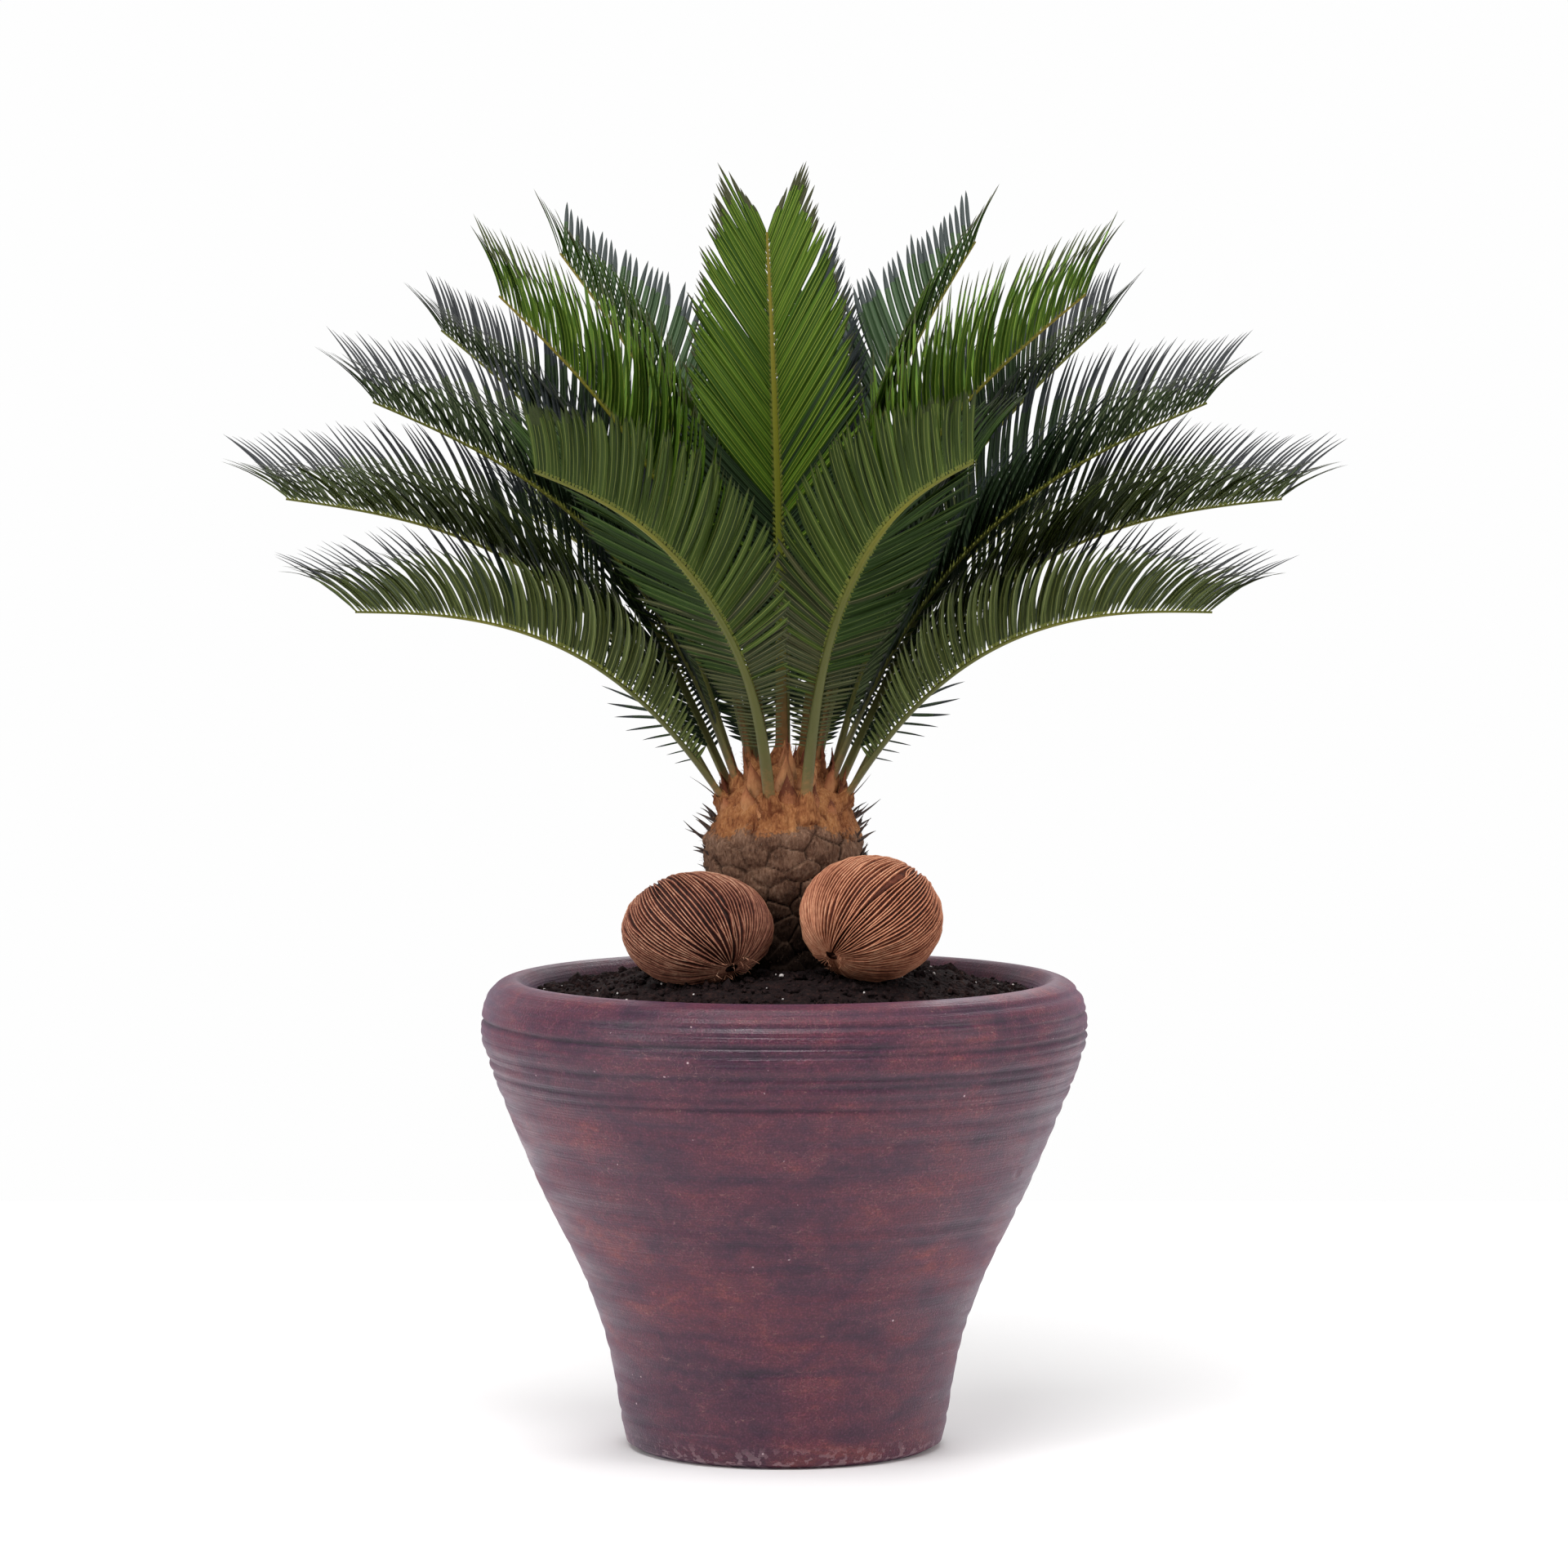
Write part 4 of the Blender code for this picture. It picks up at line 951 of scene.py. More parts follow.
# ring of seats, azimuth at the seat and further out, lift at the seat and the tip, length, kind of
# leaflets, and the greens of the rank nearer the front and of the other
Frond = namedtuple("Frond", "name ring seat end base_lift tip_lift length kind near_greens "
                            "far_greens")
FRONDS = (
    Frond("frond_front_left", "outer", -103, -128, 66, 15, 352, "short", "front", "leaf"),
    Frond("frond_front_right", "outer", -70, -61, 76, 15, 336, "short", "front", "leaf"),
    Frond("frond_centre", "heart", 101, 110, 88, 82, 343, "close", "bright", "bright"),
    Frond("frond_left_1", "outer", -162, -170, 53, 1, 287, "low", "olive", "grey"),
    Frond("frond_right_1", "outer", -18, -10, 55, -1, 289, "low", "olive", "grey"),
    Frond("frond_left_2", "outer", 176, -176, 61, 8, 365, "side", "olive", "grey"),
    Frond("frond_right_2", "outer", 4, -4, 63, 6, 368, "side", "olive", "grey"),
    Frond("frond_left_3", "middle", -163, 177, 69, 23, 358, "fine", "sage", "grey"),
    Frond("frond_right_3", "middle", -17, 3, 67, 23, 362, "fine", "sage", "grey"),
    Frond("frond_left_4", "middle", 162, 163, 72, 38, 368, "thin", "sage", "grey"),
    Frond("frond_right_4", "middle", 18, 20, 74, 40, 366, "thin", "sage", "grey"),
    Frond("frond_left_5", "inner", 180, -170, 79, 44, 356, "long", "vivid", "vivid"),
    Frond("frond_right_5", "inner", 0, -10, 81, 39, 366, "long", "vivid", "vivid"),
    Frond("frond_left_6", "inner", 125, 140, 77, 45, 392, "tall", "bright", "cool"),
    Frond("frond_right_6", "inner", 55, 42, 80, 50, 386, "tall", "bright", "cool"),
    # the near ranks of the low and high back fronds take the painted-shade greens
    Frond("frond_back_low_1", "outer", 144, 124, 60, 12, 325, "fine", "dark", "olive"),
    Frond("frond_back_low_2", "outer", 108, 102, 58, 2, 340, "fine", "dark", "olive"),
    Frond("frond_back_low_3", "outer", 72, 80, 58, 4, 335, "fine", "dark", "olive"),
    Frond("frond_back_low_4", "outer", 36, 57, 60, 12, 325, "fine", "dark", "olive"),
    Frond("frond_back_mid_1", "middle", 126, 118, 68, 26, 360, "long", "leaf", "leaf"),
    Frond("frond_back_mid_2", "middle", 90, 91, 69, 20, 370, "long", "leaf", "leaf"),
    Frond("frond_back_mid_3", "middle", 54, 64, 68, 27, 360, "long", "leaf", "leaf"),
    Frond("frond_back_high", "inner", 90, 84, 78, 48, 350, "long", "dark", "leaf"),
)
# Degrees by which a frond's two ranks are turned about its rib, at the seat and further out, and
# by which both lie flatter, and the share of that which fades again towards the tip. The front and
# side fronds show more of their near rank.
Turn = namedtuple("Turn", "at_seat leafy flatter fading")
STRAIGHT = Turn(0, 0, 0, 0.0)
TURNED = {
    "frond_front_left": Turn(0, -26, 27, 1.0), "frond_front_right": Turn(0, 26, 27, 1.0),
    "frond_centre": Turn(10, 22, 0, 0.0),
    "frond_left_1": Turn(-52, 8, 14, 0.0), "frond_right_1": Turn(52, -8, 14, 0.0),
    "frond_left_2": Turn(-20, 18, 14, 0.0), "frond_right_2": Turn(20, -18, 14, 0.0),
    "frond_left_3": Turn(0, 20, 4, 0.0), "frond_right_3": Turn(0, -22, 4, 0.0),
    "frond_left_4": Turn(0, 20, 0, 0.0), "frond_right_4": Turn(0, -20, 0, 0.0),
    "frond_left_5": Turn(0, 16, 0, 0.0), "frond_right_5": Turn(0, -16, 0, 0.0),
    "frond_left_6": Turn(0, -8, 0, 0.0), "frond_right_6": Turn(0, 6, 4, 0.0),
}
# shares of a rib: where it has turned to its final azimuth, and where its leaflets start
TURNED_BY = 0.4
STALK_SHARE = 3.0 / 27.0
# the rib's width in mm at the seat, midway and at the tip, and its depth at the seat and the tip
RIB_WIDTHS = (8.4, 4.4, 1.7)
RIB_DEPTHS = (6.0, 1.8)
# Leaflets by kind: full length and share of it left at the tip; pitch at the seat, midway and at
# the tip; width, and shares of it at the seat and the tip; angles to the rib at those three
# places; how far they bow back, and how unevenly they lie in degrees; the share of the rib over
# which they grow; and the far rank's pitch and width as shares of the near one's. They are blunt
# and strap-like at the front, at the centre and high up, and drawn out to a point at the sides.
Leaflets = namedtuple("Leaflets", "length tip_share pitch width seat_width tip_width spreads bow "
                                  "uneven grown_by far_pitch far_width")
LEAFLETS = {
    "short": Leaflets(76.0, 0.8, (2.7, 3.4, 3.6), 3.9, 0.26, 0.8, (80.0, 37.0, 28.0), 0.06, 0.5,
                      0.46, 1.0, 1.0),
    "close": Leaflets(98.0, 0.68, (3.6, 3.4, 3.1), 3.6, 0.26, 0.7, (80.0, 37.0, 29.0), 0.04, 0.4,
                      0.38, 1.0, 1.0),
    "low": Leaflets(86.0, 0.8, (3.7, 3.1, 3.0), 4.1, 0.26, 0.6, (70.0, 46.0, 25.0), 0.04, 0.4,
                    0.36, 1.12, 0.85),
    "side": Leaflets(96.0, 0.64, (3.4, 3.0, 3.0), 4.3, 0.7, 0.6, (64.0, 32.0, 26.0), 0.04, 0.4,
                     0.17, 1.12, 0.85),
    "fine": Leaflets(96.0, 0.62, (3.4, 3.2, 3.2), 4.2, 0.7, 0.58, (64.0, 34.0, 22.0), 0.05, 0.4,
                     0.24, 1.12, 0.85),
    "thin": Leaflets(88.0, 0.52, (3.4, 3.2, 3.2), 4.2, 0.7, 0.58, (64.0, 34.0, 22.0), 0.05, 0.4,
                     0.24, 1.12, 0.85),
    "long": Leaflets(100.0, 0.6, (4.8, 3.8, 3.9), 4.2, 0.26, 0.66, (80.0, 37.0, 20.0), 0.05, 0.4,
                     0.24, 1.12, 0.85),
    "tall": Leaflets(88.0, 0.5, (4.8, 3.9, 4.2), 4.2, 0.26, 0.66, (80.0, 36.0, 25.0), 0.03, 0.3,
                     0.24, 1.5, 1.15),
}
# on the lowest fronds the first leaflets of the far rank stand twice as far apart, as bare spines
SPINES_END = 0.4
SPINES_APART = 2.0
NEAR_SEAT_WIDTH = 0.7
# a leaflet's root in the rib, as shares of the rib's half width and half depth
ROOT_OUT = 0.75
ROOT_UP = 0.2
# length of the first leaflets, as a share of the full one, and of the centre frond's last ones
FIRST_LENGTH = 0.16
LAST_LENGTH = 0.3
# Share of the leafy run by which the ranks have opened, and degrees added to their spread where
# the rib runs level. Then how far the ranks stand up from the rib, in degrees: at the seat, once
# opened, and more where the rib runs level.
OPEN_BY = 0.4
LEVEL_SPREAD = 16.0
SEAT_RISE = -8.0
RISE = 28.0
LEVEL_RISE = 34.0
# degrees that a leaflet is turned about its own length, and how far these vary
TWIST = (22.0, 7.0)
# fewest neighbours whose ends lean together, and one more than the most
FINGERS = (2, 8)
# mm from the axis within which the side fronds' leaflets take painted shade for the crown's shade
SHADE_REACH = (160.0, 200.0)
# shares of a leaflet's length, and its width there for the two outlines
BLADE_ALONG = np.array([0.0, 0.035, 0.12, 0.28, 0.46, 0.62, 0.75, 0.86, 0.94, 1.0])
STRAP = np.array([0.36, 0.7, 0.95, 1.0, 1.0, 1.0, 0.93, 0.72, 0.42, 0.04])
POINTED = np.array([0.36, 0.7, 0.95, 1.0, 0.97, 0.84, 0.66, 0.43, 0.24, 0.02])
BLADE_WIDTH = {"short": STRAP, "close": STRAP, "low": POINTED, "side": POINTED, "fine": POINTED,
               "thin": POINTED, "long": (STRAP + POINTED) / 2, "tall": STRAP}
# a leaflet's gutter section: places across, and how far each stands up, in half widths
BLADE_ACROSS = np.array([-1.0, -0.55, -0.13, 0.13, 0.55, 1.0])
BLADE_RISE = np.array([-0.46, -0.06, 0.05, 0.05, -0.06, -0.46])
# the stalk's and rib's section, grooved on top, in half widths and half depths
STALK_SECTION = [
    (0.0, 0.62), (0.42, 0.34), (0.8, 0.5), (1.0, 0.12), (0.86, -0.5), (0.45, -0.9), (0.0, -1.0),
    (-0.45, -0.9), (-0.86, -0.5), (-1.0, 0.12), (-0.8, 0.5), (-0.42, 0.34),
]

# Leaflets: hard, leathery and waxed, so they reflect the pale room softly. Every frond has its own
# greens, dealt out leaflet by leaflet, with a paler midrib, a pale joint at the stalk and a greyer
# outer end, which is longest on the side fronds. Each family has three greens, the midrib's, the
# end's, and how many rows of the blade the end takes.
GREENS = {
    "bright": ("#3d5713", "#304a0e", "#4b681a", "#7c8c34", "#45472f", 1),
    "vivid": ("#456218", "#375210", "#547420", "#84953c", "#454c2d", 2),
    "front": ("#394a18", "#2d3d11", "#45571f", "#6f7a36", "#3c4722", 1),
    "leaf": ("#273b11", "#20320d", "#2f4617", "#4c5d28", "#2f3820", 1),
    "olive": ("#424d23", "#37411c", "#505c2d", "#737a40", "#414434", 2),
    "grey": ("#364129", "#2d3722", "#444e35", "#5e6549", "#3e4042", 4),
    "sage": ("#425032", "#374529", "#515f41", "#707955", "#4c4f49", 3),
    "cool": ("#2d4424", "#263a1e", "#3b5233", "#56674c", "#3f4645", 3),
    "worn": ("#3b4225", "#2e351c", "#494c2d", "#6b6945", "#3e3d30", 2),
    # near-black greens that paint shade: for leaflets in the crown's shade, low on the centre
    # frond, and on the back fronds
    "dark": ("#1a2915", "#142211", "#24351c", "#3a4a30", "#282e2f", 3),
}


def waxed(name, colour):
    """A leathery leaf finish in one green, with veins 1 mm apart, coarser than life, along it."""
    material, tree, shader = new_finish(name, 0.5, 1.4)
    shader.inputs["Specular IOR Level"].default_value = 0.26
    shader.inputs["Base Color"].default_value = linear(colour)
    veins = node(tree, "Attribute", attribute_name="across").outputs["Fac"]
    ribbed = node(tree, "Math", {0: veins, 1: 14.0}, operation="MULTIPLY")
    ribbed = node(tree, "Math", {0: ribbed.outputs[0]}, operation="SINE")
    fine = node(tree, "Bump", {"Strength": 0.25, "Distance": 0.0003, "Height": ribbed.outputs[0]})
    tree.links.new(fine.outputs[0], shader.inputs["Normal"])
    return material


leaf_joint = waxed("leaflet joint", "#6e7432")
leaf_finishes = {
    family: [waxed(f"waxed leaflet {family} {part}", colour) for part, colour in
             zip(("green", "deep green", "pale green", "midrib", "end"), shades)] + [leaf_joint]
    for family, shades in GREENS.items()
}


def waxed_stalk(name, stops):
    """A smooth waxed stalk, mottled every 3 mm, whose colour changes on its way out."""
    material, tree, shader = new_finish(name, 0.48, 1.4)
    shader.inputs["Specular IOR Level"].default_value = 0.35
    place = node(tree, "TexCoord").outputs["Object"]
    out_mark = node(tree, "Attribute", attribute_name="out").outputs["Fac"]
    skin = node(tree, "TexNoise", {"Vector": place, "Scale": 320, "Detail": 3})
    aged = node(tree, "Math", {0: skin.outputs["Fac"], 1: 0.12, 2: out_mark},
                operation="MULTIPLY_ADD")
    stalk_colour = node(tree, "ValToRGB", {"Fac": aged.outputs[0]}, stops=stops)
    tree.links.new(stalk_colour.outputs[0], shader.inputs["Base Color"])
    waxy = node(tree, "Bump", {"Strength": 0.15, "Distance": 0.0004,
                               "Height": skin.outputs["Fac"]})
    tree.links.new(waxy.outputs[0], shader.inputs["Normal"])
    return material


# Leaf stalks: smooth, hard and waxed, brown where they leave the wool, then olive, and yellower
# further out. The youngest, at the centre and inside, are nearly golden.
olive_stalk = waxed_stalk("waxed olive leaf stalk", [
    (0.05, "#986b41"), (0.085, "#776039"), (0.12, "#605a34"), (0.2, "#58592f"), (0.46, "#5a5e29"),
    (0.76, "#747229"), (1.0, "#666829"),
])
golden_stalk = waxed_stalk("waxed golden leaf stalk", [
    (0.06, "#7a5430"), (0.16, "#50401f"), (0.4, "#58601a"), (0.7, "#70701e"), (0.9, "#80762a"),
    (1.0, "#85772e"),
])


def three_way(share, start, midway, end):
    """A value eased from start to midway over the first half, and on to end over the second."""
    return np.where(share < 0.5, blend(start, midway, ease(share * 2)),
                    blend(midway, end, ease(share * 2 - 1)))


def unit(vectors):
    """Each vector at length one."""
    return vectors / (np.linalg.norm(vectors, axis=-1, keepdims=True) + 1e-12)


def heading(share, frond):
    """The way a frond's rib runs at shares of its length."""
    turn = (frond.end - frond.seat + 180.0) % 360.0 - 180.0
    azimuth = np.radians(frond.seat + turn * ease(share / TURNED_BY))
    lift = np.radians(blend(frond.base_lift, frond.tip_lift, ease(share)))
    return turned_about(np.cos(lift), azimuth, np.sin(lift))


def rib_frames(frond):
    """Points along a rib in mm, and its forward, sideways and upward directions."""
    out, up = RINGS[frond.ring]
    seat = math.radians(frond.seat)
    start = np.array([out * math.cos(seat), out * math.sin(seat), up])
    share = np.linspace(0.0, 1.0, RIB_STEPS + 1)
    between = heading(share[:-1] + 0.5 / RIB_STEPS, frond)
    line = start + np.vstack([np.zeros(3), np.cumsum(between, axis=0)]) * frond.length / RIB_STEPS
    forward = heading(share, frond)
    azimuth = np.arctan2(forward[:, 1], forward[:, 0])
    side = np.stack([np.sin(azimuth), -np.cos(azimuth), 0 * azimuth], axis=-1)
    return share, line, forward, side, np.cross(side, forward)


def rib_half(share):
    """Half the rib's width and half its depth."""
    return three_way(share, *RIB_WIDTHS) / 2, blend(*RIB_DEPTHS, np.sqrt(share)) / 2


def stalk_mesh(frames):
    """A frond's stalk and rib as one tapering, grooved bar."""
    share, line, forward, side, up = frames
    half_width, half_depth = rib_half(share)
    section = np.array(STALK_SECTION)
    points = (line[:, None]
              + side[:, None] * (section[None, :, :1] * half_width[:, None, None])
              + up[:, None] * (section[None, :, 1:] * half_depth[:, None, None]))
    root = points[:1] - forward[:1] * ROOT_DEPTH
    points = np.concatenate([root, points])
    marks = np.concatenate([[0.0], share])[:, None] + np.zeros(len(section))
    return points, marks


def leaflet_roots(frond, leaflets, far_hand, chance):
    """Where the leaflets leave the rib, as shares of its length, and which hand each is on."""
    spiny = frond.kind == "low"
    leafy = []
    for hand in (-1.0, 1.0):
        far = hand == far_hand
        at = STALK_SHARE
        while at < 0.999:
            leafy.append((at, hand))
            wider = leaflets.far_pitch if far else 1.0
            if spiny and far and at < SPINES_END:
                wider = SPINES_APART
            s = (at - STALK_SHARE) / (1 - STALK_SHARE)
            at += wider * float(three_way(s, *leaflets.pitch)) / frond.length
    at, hand = np.array(sorted(leafy)).T
    return np.clip(at + chance.normal(0, 0.3, len(at)) / frond.length, STALK_SHARE, 1.0), hand


def finger_leans(hand, chance):
    """How many places each leaflet's end leans back, so that a few neighbours share a finger."""
    leans = np.zeros(len(hand))
    for ours in (np.flatnonzero(hand < 0), np.flatnonzero(hand > 0)):
        while len(ours):
            group, ours = np.split(ours, [chance.integers(*FINGERS)])
            leans[group] = np.arange(len(group)) - (len(group) - 1) / 2
    return leans


def leaflet_lines(frames, frond, leaflets, chance):
    """Where each leaflet is, which rank it is in, and how its middle runs."""
    share, line, forward, side, up = frames
    centre, low = frond.kind == "close", frond.kind == "low"
    at, hand = leaflet_roots(frond, leaflets, np.sign(side[-1, 1]), chance)
    count = len(at)

    def here(values):
        return np.stack([np.interp(at, share, values[:, k]) for k in range(3)], axis=1)

    ahead, sideways, upward = unit(here(forward)), unit(here(side)), unit(here(up))
    far = (hand * sideways[:, 1]) > 0
    half_width, half_depth = rib_half(at)
    root = here(line) + sideways * (hand * half_width * ROOT_OUT)[:, None]
    root = root + upward * (half_depth * ROOT_UP)[:, None]

    # its length: short at the seat, and at the very end of the centre frond
    s = (at - STALK_SHARE) / (1.0 - STALK_SHARE)
    grown = ease(s / leaflets.grown_by)
    opened = ease(s / OPEN_BY)
    size = leaflets.length * blend(FIRST_LENGTH, 1.0, grown)
    size = size * blend(1.0, leaflets.tip_share, ease(s * 2 - 1))
    if centre:
        size = size * blend(1.0, LAST_LENGTH, ease((s - 0.945) / 0.055))
    size = size * chance.normal(1.0, 0.03, count)

    # the way it points: closer to the rib further out, and closed to a fan at the tip
    level = np.hypot(ahead[:, 0], ahead[:, 1])
    fan = (0.3 if centre else 0.15) * ease((s - 0.9) / 0.1)
    spread = three_way(s, *leaflets.spreads) + LEVEL_SPREAD * level * opened
    spread = (spread + chance.normal(0, leaflets.uneven, count)) * blend(1.0, 0.4, fan)
    spread = np.radians(spread)
    turned = TURNED.get(frond.name, STRAIGHT)
    kept = 1.0 - turned.fading * ease((s - 0.45) / 0.3)
    roll = blend(turned.at_seat, turned.leafy, opened) * hand * kept
    raised = blend(SEAT_RISE, RISE + LEVEL_RISE * level - turned.flatter * kept, opened) + roll
    raised = np.radians(raised + chance.normal(0, 2.2 * leaflets.uneven, count))
    outward = sideways * (hand * np.cos(raised))[:, None] + upward * np.sin(raised)[:, None]
    way = ahead * np.cos(spread)[:, None] + outward * np.sin(spread)[:, None]

    # its bend: back towards the seat, up in an arch, and aside with the few beside it
    back = -unit(ahead - way * np.sum(ahead * way, axis=1)[:, None])
    lift = np.cross(back, way)
    lift = unit(lift * np.sign(np.sum(lift * upward, axis=1) + 1e-9)[:, None])
    bow = (0.01 + leaflets.bow * level) * grown
    bow = bow * chance.uniform(0.7, 1.3, count)
    arch = (0.015 + 0.02 * level) * chance.uniform(0.4, 1.6, count) + 0.04 * (low & ~far)
    aside = back * bow[:, None] + lift * arch[:, None]
    lean = finger_leans(hand, chance) * np.sin(spread) * grown * chance.uniform(0.3, 0.75, count)
    lean = back * (lean * leaflets.pitch[1] / leaflets.length)[:, None]
    t = BLADE_ALONG[None, :, None]
    middle = root[:, None] + size[:, None, None] * (
        way[:, None] * t + aside[:, None] * 4 * t * (1 - t) + lean[:, None] * t**3)
    tangent = unit(way[:, None] + aside[:, None] * 4 * (1 - 2 * t) + lean[:, None] * 3 * t**2)
    return s, far, ahead, upward, middle, tangent


def leaflet_blades(frond, leaflets, lines, chance):
    """Blades along those lines: shallow gutters, each turned a little about its own length."""
    s, far, ahead, upward, middle, tangent = lines
    wide = unit(ahead[:, None]
                - tangent * np.sum(ahead[:, None] * tangent, axis=2, keepdims=True))
    thin = np.cross(tangent, wide)
    thin = thin * np.sign(np.sum(thin * upward[:, None], axis=2, keepdims=True) + 1e-9)
    twist = np.radians(chance.normal(*TWIST, len(s)))[:, None, None]
    twist = twist * (1.0 - 0.25 * BLADE_ALONG[None, :, None])
    wide, thin = (wide * np.cos(twist) + thin * np.sin(twist),
                  thin * np.cos(twist) - wide * np.sin(twist))
    at_seat = np.where((frond.kind == "low") & ~far, NEAR_SEAT_WIDTH, leaflets.seat_width)
    half = leaflets.width / 2 * blend(at_seat, 1.0, ease(s / 0.3))
    half = half * blend(1.0, leaflets.tip_width, ease(s * 2 - 1))
    half = half * np.where(far, leaflets.far_width, 1.0) * chance.normal(1.0, 0.05, len(s))
    half = half[:, None, None, None] * BLADE_WIDTH[frond.kind][:, None, None]
    return middle[:, :, None] + (wide[:, :, None] * (half * BLADE_ACROSS[:, None])
                                 + thin[:, :, None] * (half * BLADE_RISE[:, None]))


def in_shade(frond, s, far, root, chance):
    """The leaflets that take painted-shade greens, deep in the crown and low on the centre frond,
    and the worn ones low on the front fronds, which take browner greens.
    """
    inside = np.linalg.norm(root[:, :2], axis=1) < chance.uniform(*SHADE_REACH, len(s))
    lit = frond.kind in ("low", "side") or "_4" in frond.name
    shaded = inside & (far | (not lit)) & (frond.kind in ("low", "side", "fine", "thin"))
    worn_and_shaded_to = (0.22, 0.55) if frond.kind == "close" else (0.1, 0.38)
    low_down = s < chance.uniform(*worn_and_shaded_to, len(s))
    return shaded | (low_down & (frond.kind in ("close", "short")))


# how often each of a family's three greens comes up, and the places of its other finishes
GREEN_SHARES = [0.5, 0.28, 0.22]
MIDRIB, END, JOINT, FINISHES = 3, 4, 5, 6
FROND_SEED = 100
# the foot's felt: mm that it runs back along the stalk into the bulb, and points along and round
FOOT_BACK = 20.0
FOOT_ROWS = 24
FOOT_COLUMNS = 40
feet_points, feet_crease_shade, feet_fresh = [], [], []
for number, frond in enumerate(FRONDS):
    name = frond.name
    chance = np.random.default_rng(FROND_SEED + number)
    frames = rib_frames(frond)
    stalk_points, marks = stalk_mesh(frames)
    rows, columns = stalk_points.shape[:2]
    stalk = new_piece(name + "_stalk", stalk_points.reshape(-1, 3) * MM,
                      grid_faces(rows, columns, closed=True)[:, ::-1],
                      [golden_stalk if frond.near_greens in ("bright", "vivid") else olive_stalk],
                      marks={"out": marks})
    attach(stalk, "root")
    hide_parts(name)

    leaflets = LEAFLETS[frond.kind]
    lines = leaflet_lines(frames, frond, leaflets, chance)
    s, far, middle = lines[0], lines[1], lines[4]
    points = leaflet_blades(frond, leaflets, lines, chance)
    shaded = in_shade(frond, s, far, middle[:, 0], chance)
    count, rows, columns = points.shape[:3]
    blade_faces = grid_faces(rows, columns)

    # each blade's faces take their green, and the midrib, end and joint their own
    row_of_face = np.repeat(np.arange(rows - 1), columns - 1)
    column_of_face = np.tile(np.arange(columns - 1), rows - 1)
    dealt = np.repeat(chance.choice(3, count, p=GREEN_SHARES)[:, None], len(blade_faces), axis=1)
    dealt[:, column_of_face == columns // 2 - 1] = MIDRIB
    end_rows = np.where(far, GREENS[frond.far_greens][-1], GREENS[frond.near_greens][-1])
    end_rows = end_rows + np.round(3.0 * ease((s - 0.72) / 0.28) * chance.uniform(0.4, 1, count))
    dealt[row_of_face[None] >= rows - 1 - end_rows[:, None]] = END
    dealt[:, row_of_face == 0] = JOINT
    # the shaded leaflets take the third set of finishes: painted-shade greens, or worn greens on
    # the front fronds
    dealt = dealt + FINISHES * np.where(shaded, 2, far)[:, None]
    across = np.broadcast_to(BLADE_ACROSS, (count, rows, columns))
    deep_greens = "worn" if frond.kind == "short" else "dark"
    foliage = new_piece(name + "_leaflets", points.reshape(-1, 3) * MM,
                        repeated(blade_faces, count, rows * columns),
                        leaf_finishes[frond.near_greens] + leaf_finishes[frond.far_greens]
                        + leaf_finishes[deep_greens], dealt.ravel(), marks={"across": across})
    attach(foliage, "root")
    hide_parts(name)

    # the foot: felt that climbs the stalk's first run in ragged points
    _, line, forward, side, up = (values[0] for values in frames)
    rise = np.linspace(-FOOT_BACK, chance.uniform(2.0, 7.0), FOOT_ROWS)[:, None]
    turn = np.arange(FOOT_COLUMNS)[None] / FOOT_COLUMNS * math.tau
    ragged = 2.2 * chance.uniform(-1, 1, FOOT_COLUMNS)[None] * ease((rise + 6.0) / 12.0)
    # a little wider than the stalk at its top, and wide where it joins the wool
    wide = 4.7 + 6.0 * ease((7.0 - rise) / 22.0) - 1.0 * ease(rise / 6.0)
    foot = (line + forward * (rise + ragged)[..., None]
            + side * (wide * np.cos(turn))[..., None]
            + up * (0.72 * wide * np.sin(turn))[..., None])
    # the creases of the feet's felt take painted shade through the same crevice mark
    creased = np.abs(rough(foot * (1.0, 1.0, 0.3), 0.11, 2))
    feet_crease_shade.append(np.exp(-((creased / 0.08) ** 2)).ravel())
    feet_points.append(roughened(foot, 2.2, 0.7).reshape(-1, 3))
    tufted = rough(feet_points[-1] + 500.0, 0.3)
    above = feet_points[-1][:, 2] - SOIL_TOP - FRESH_FROM
    feet_fresh.append(ease((above - 9.0 * tufted) / FRESH_OVER + 0.5))

# The feet of all fronds, felted together with the wool round them.
foot_faces = grid_faces(FOOT_ROWS, FOOT_COLUMNS, closed=True)[:, ::-1]
feet = new_piece("frond_feet_wool", np.vstack(feet_points) * MM,
                 repeated(foot_faces, len(FRONDS), FOOT_ROWS * FOOT_COLUMNS), [trunk_felt],
                 marks={"fresh": np.concatenate(feet_fresh),
                        "crevice": 0.7 * np.concatenate(feet_crease_shade)})
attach(feet, "root")
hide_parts("trunk")

# The studio: a pale floor under a large soft lamp overhead, softer ones at both sides and behind,
# and a white backdrop all round, dimmer on the camera's side.
FLOOR_CORNERS = ((-2, -2, 0), (2, -2, 0), (2, 1.2, 0), (-2, 1.2, 0))

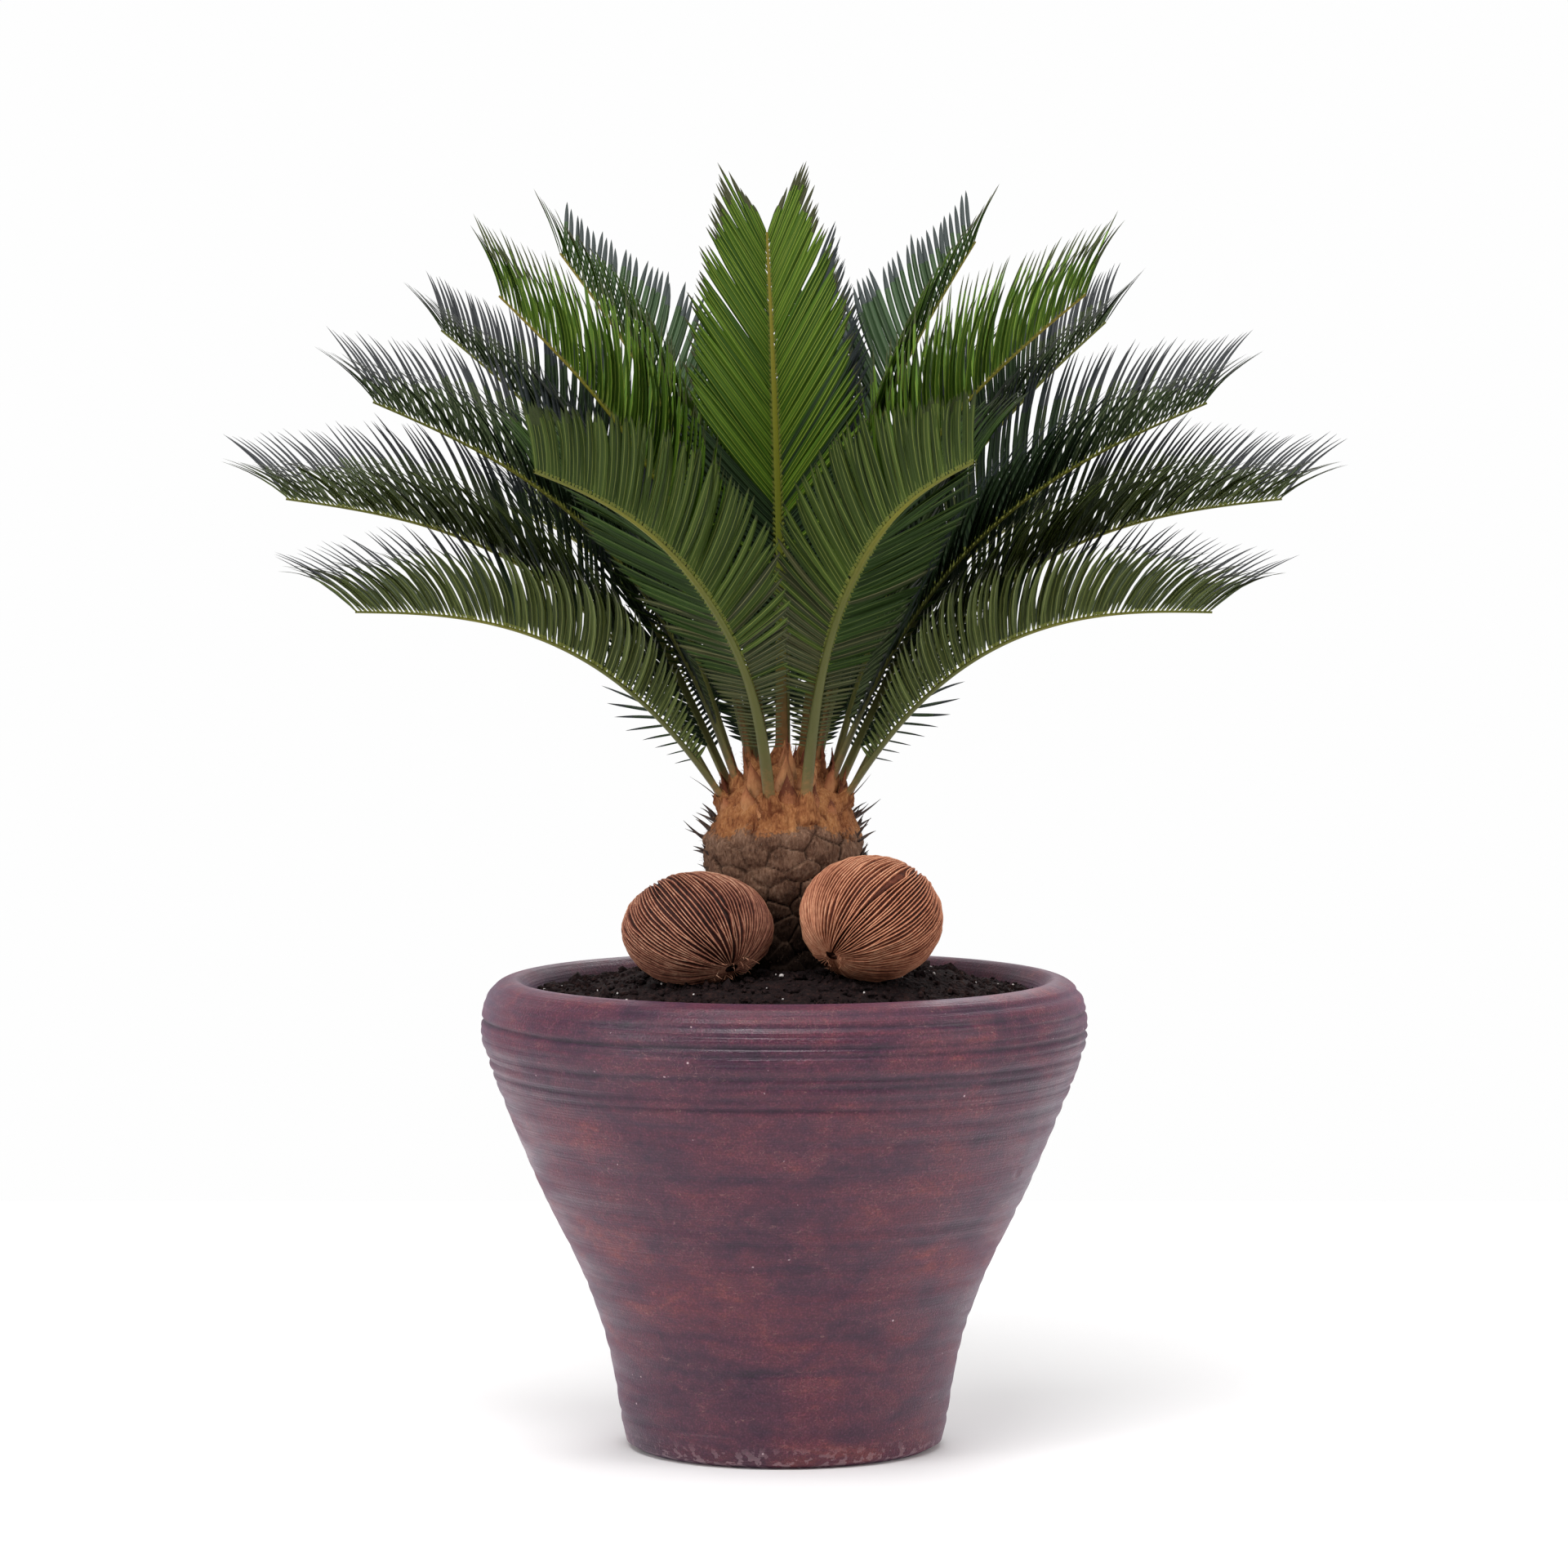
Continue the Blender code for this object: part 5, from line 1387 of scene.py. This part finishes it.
# Matt floor paint: nearly white and dull, so it takes only a soft shadow.
floor_paint, tree, shader = new_finish("pale matt floor", 0.9)
shader.inputs["Base Color"].default_value = linear("#f6f5f5")
floor = new_piece("floor", np.array(FLOOR_CORNERS, float), np.array([[0, 1, 2, 3]]),
                  [floor_paint])


def lamp(name, place, target, size, power):
    """A soft square lamp aimed at a point."""
    light = bpy.data.lights.new(name, "AREA")
    light.size = size
    light.energy = power
    thing = bpy.data.objects.new(name, light)
    thing.location = place
    thing.rotation_euler = (Vector(target) - Vector(place)).to_track_quat("-Z", "Y").to_euler()
    bpy.context.scene.collection.objects.link(thing)


lamp("overhead lamp", (-0.3, -1.3, 2.7), (0, 0, 0.5), 1.8, 75)
lamp("left lamp", (-2.6, -1.6, 1.3), (0, 0, 0.4), 1.4, 32)
lamp("right lamp", (2.6, -1.2, 1.3), (0, 0, 0.4), 1.4, 26)
lamp("back lamp", (0.4, 2.0, 2.6), (0, 0, 0.5), 1.6, 40)

world = bpy.data.worlds.new("white backdrop")
world.use_nodes = True
tree = world.node_tree
way = node(tree, "TexCoord").outputs["Generated"]
way = node(tree, "SeparateXYZ", {0: way})
behind = node(tree, "MapRange", {"Value": way.outputs["Y"], "From Min": -0.6, "From Max": 0.7,
                                 "To Min": 0.14, "To Max": 0.7})
seen = node(tree, "LightPath").outputs["Is Camera Ray"]
brightness = node(tree, "Math", {0: behind.outputs[0], 1: seen}, operation="MAXIMUM")
room = tree.nodes["Background"]
room.inputs["Color"].default_value = linear("#fefefe")
tree.links.new(brightness.outputs[0], room.inputs["Strength"])
bpy.context.scene.world = world
bpy.context.scene.view_settings.view_transform = "Standard"

# The camera: a long lens for a 36 mm frame, about four metres off, level with the crown and tilted
# slightly down, in degrees.
CAMERA_LENS = 142.8
CAMERA_FRAME = 36.0
CAMERA_PLACE = (0.0, -4.095, 0.712)
CAMERA_TILT = 3.816
camera = bpy.data.objects.new("camera", bpy.data.cameras.new("camera"))
camera.data.lens = CAMERA_LENS
camera.data.sensor_width = CAMERA_FRAME
camera.location = CAMERA_PLACE
camera.rotation_euler = (math.radians(90.0 - CAMERA_TILT), 0.0, 0.0)
bpy.context.scene.collection.objects.link(camera)
bpy.context.scene.camera = camera
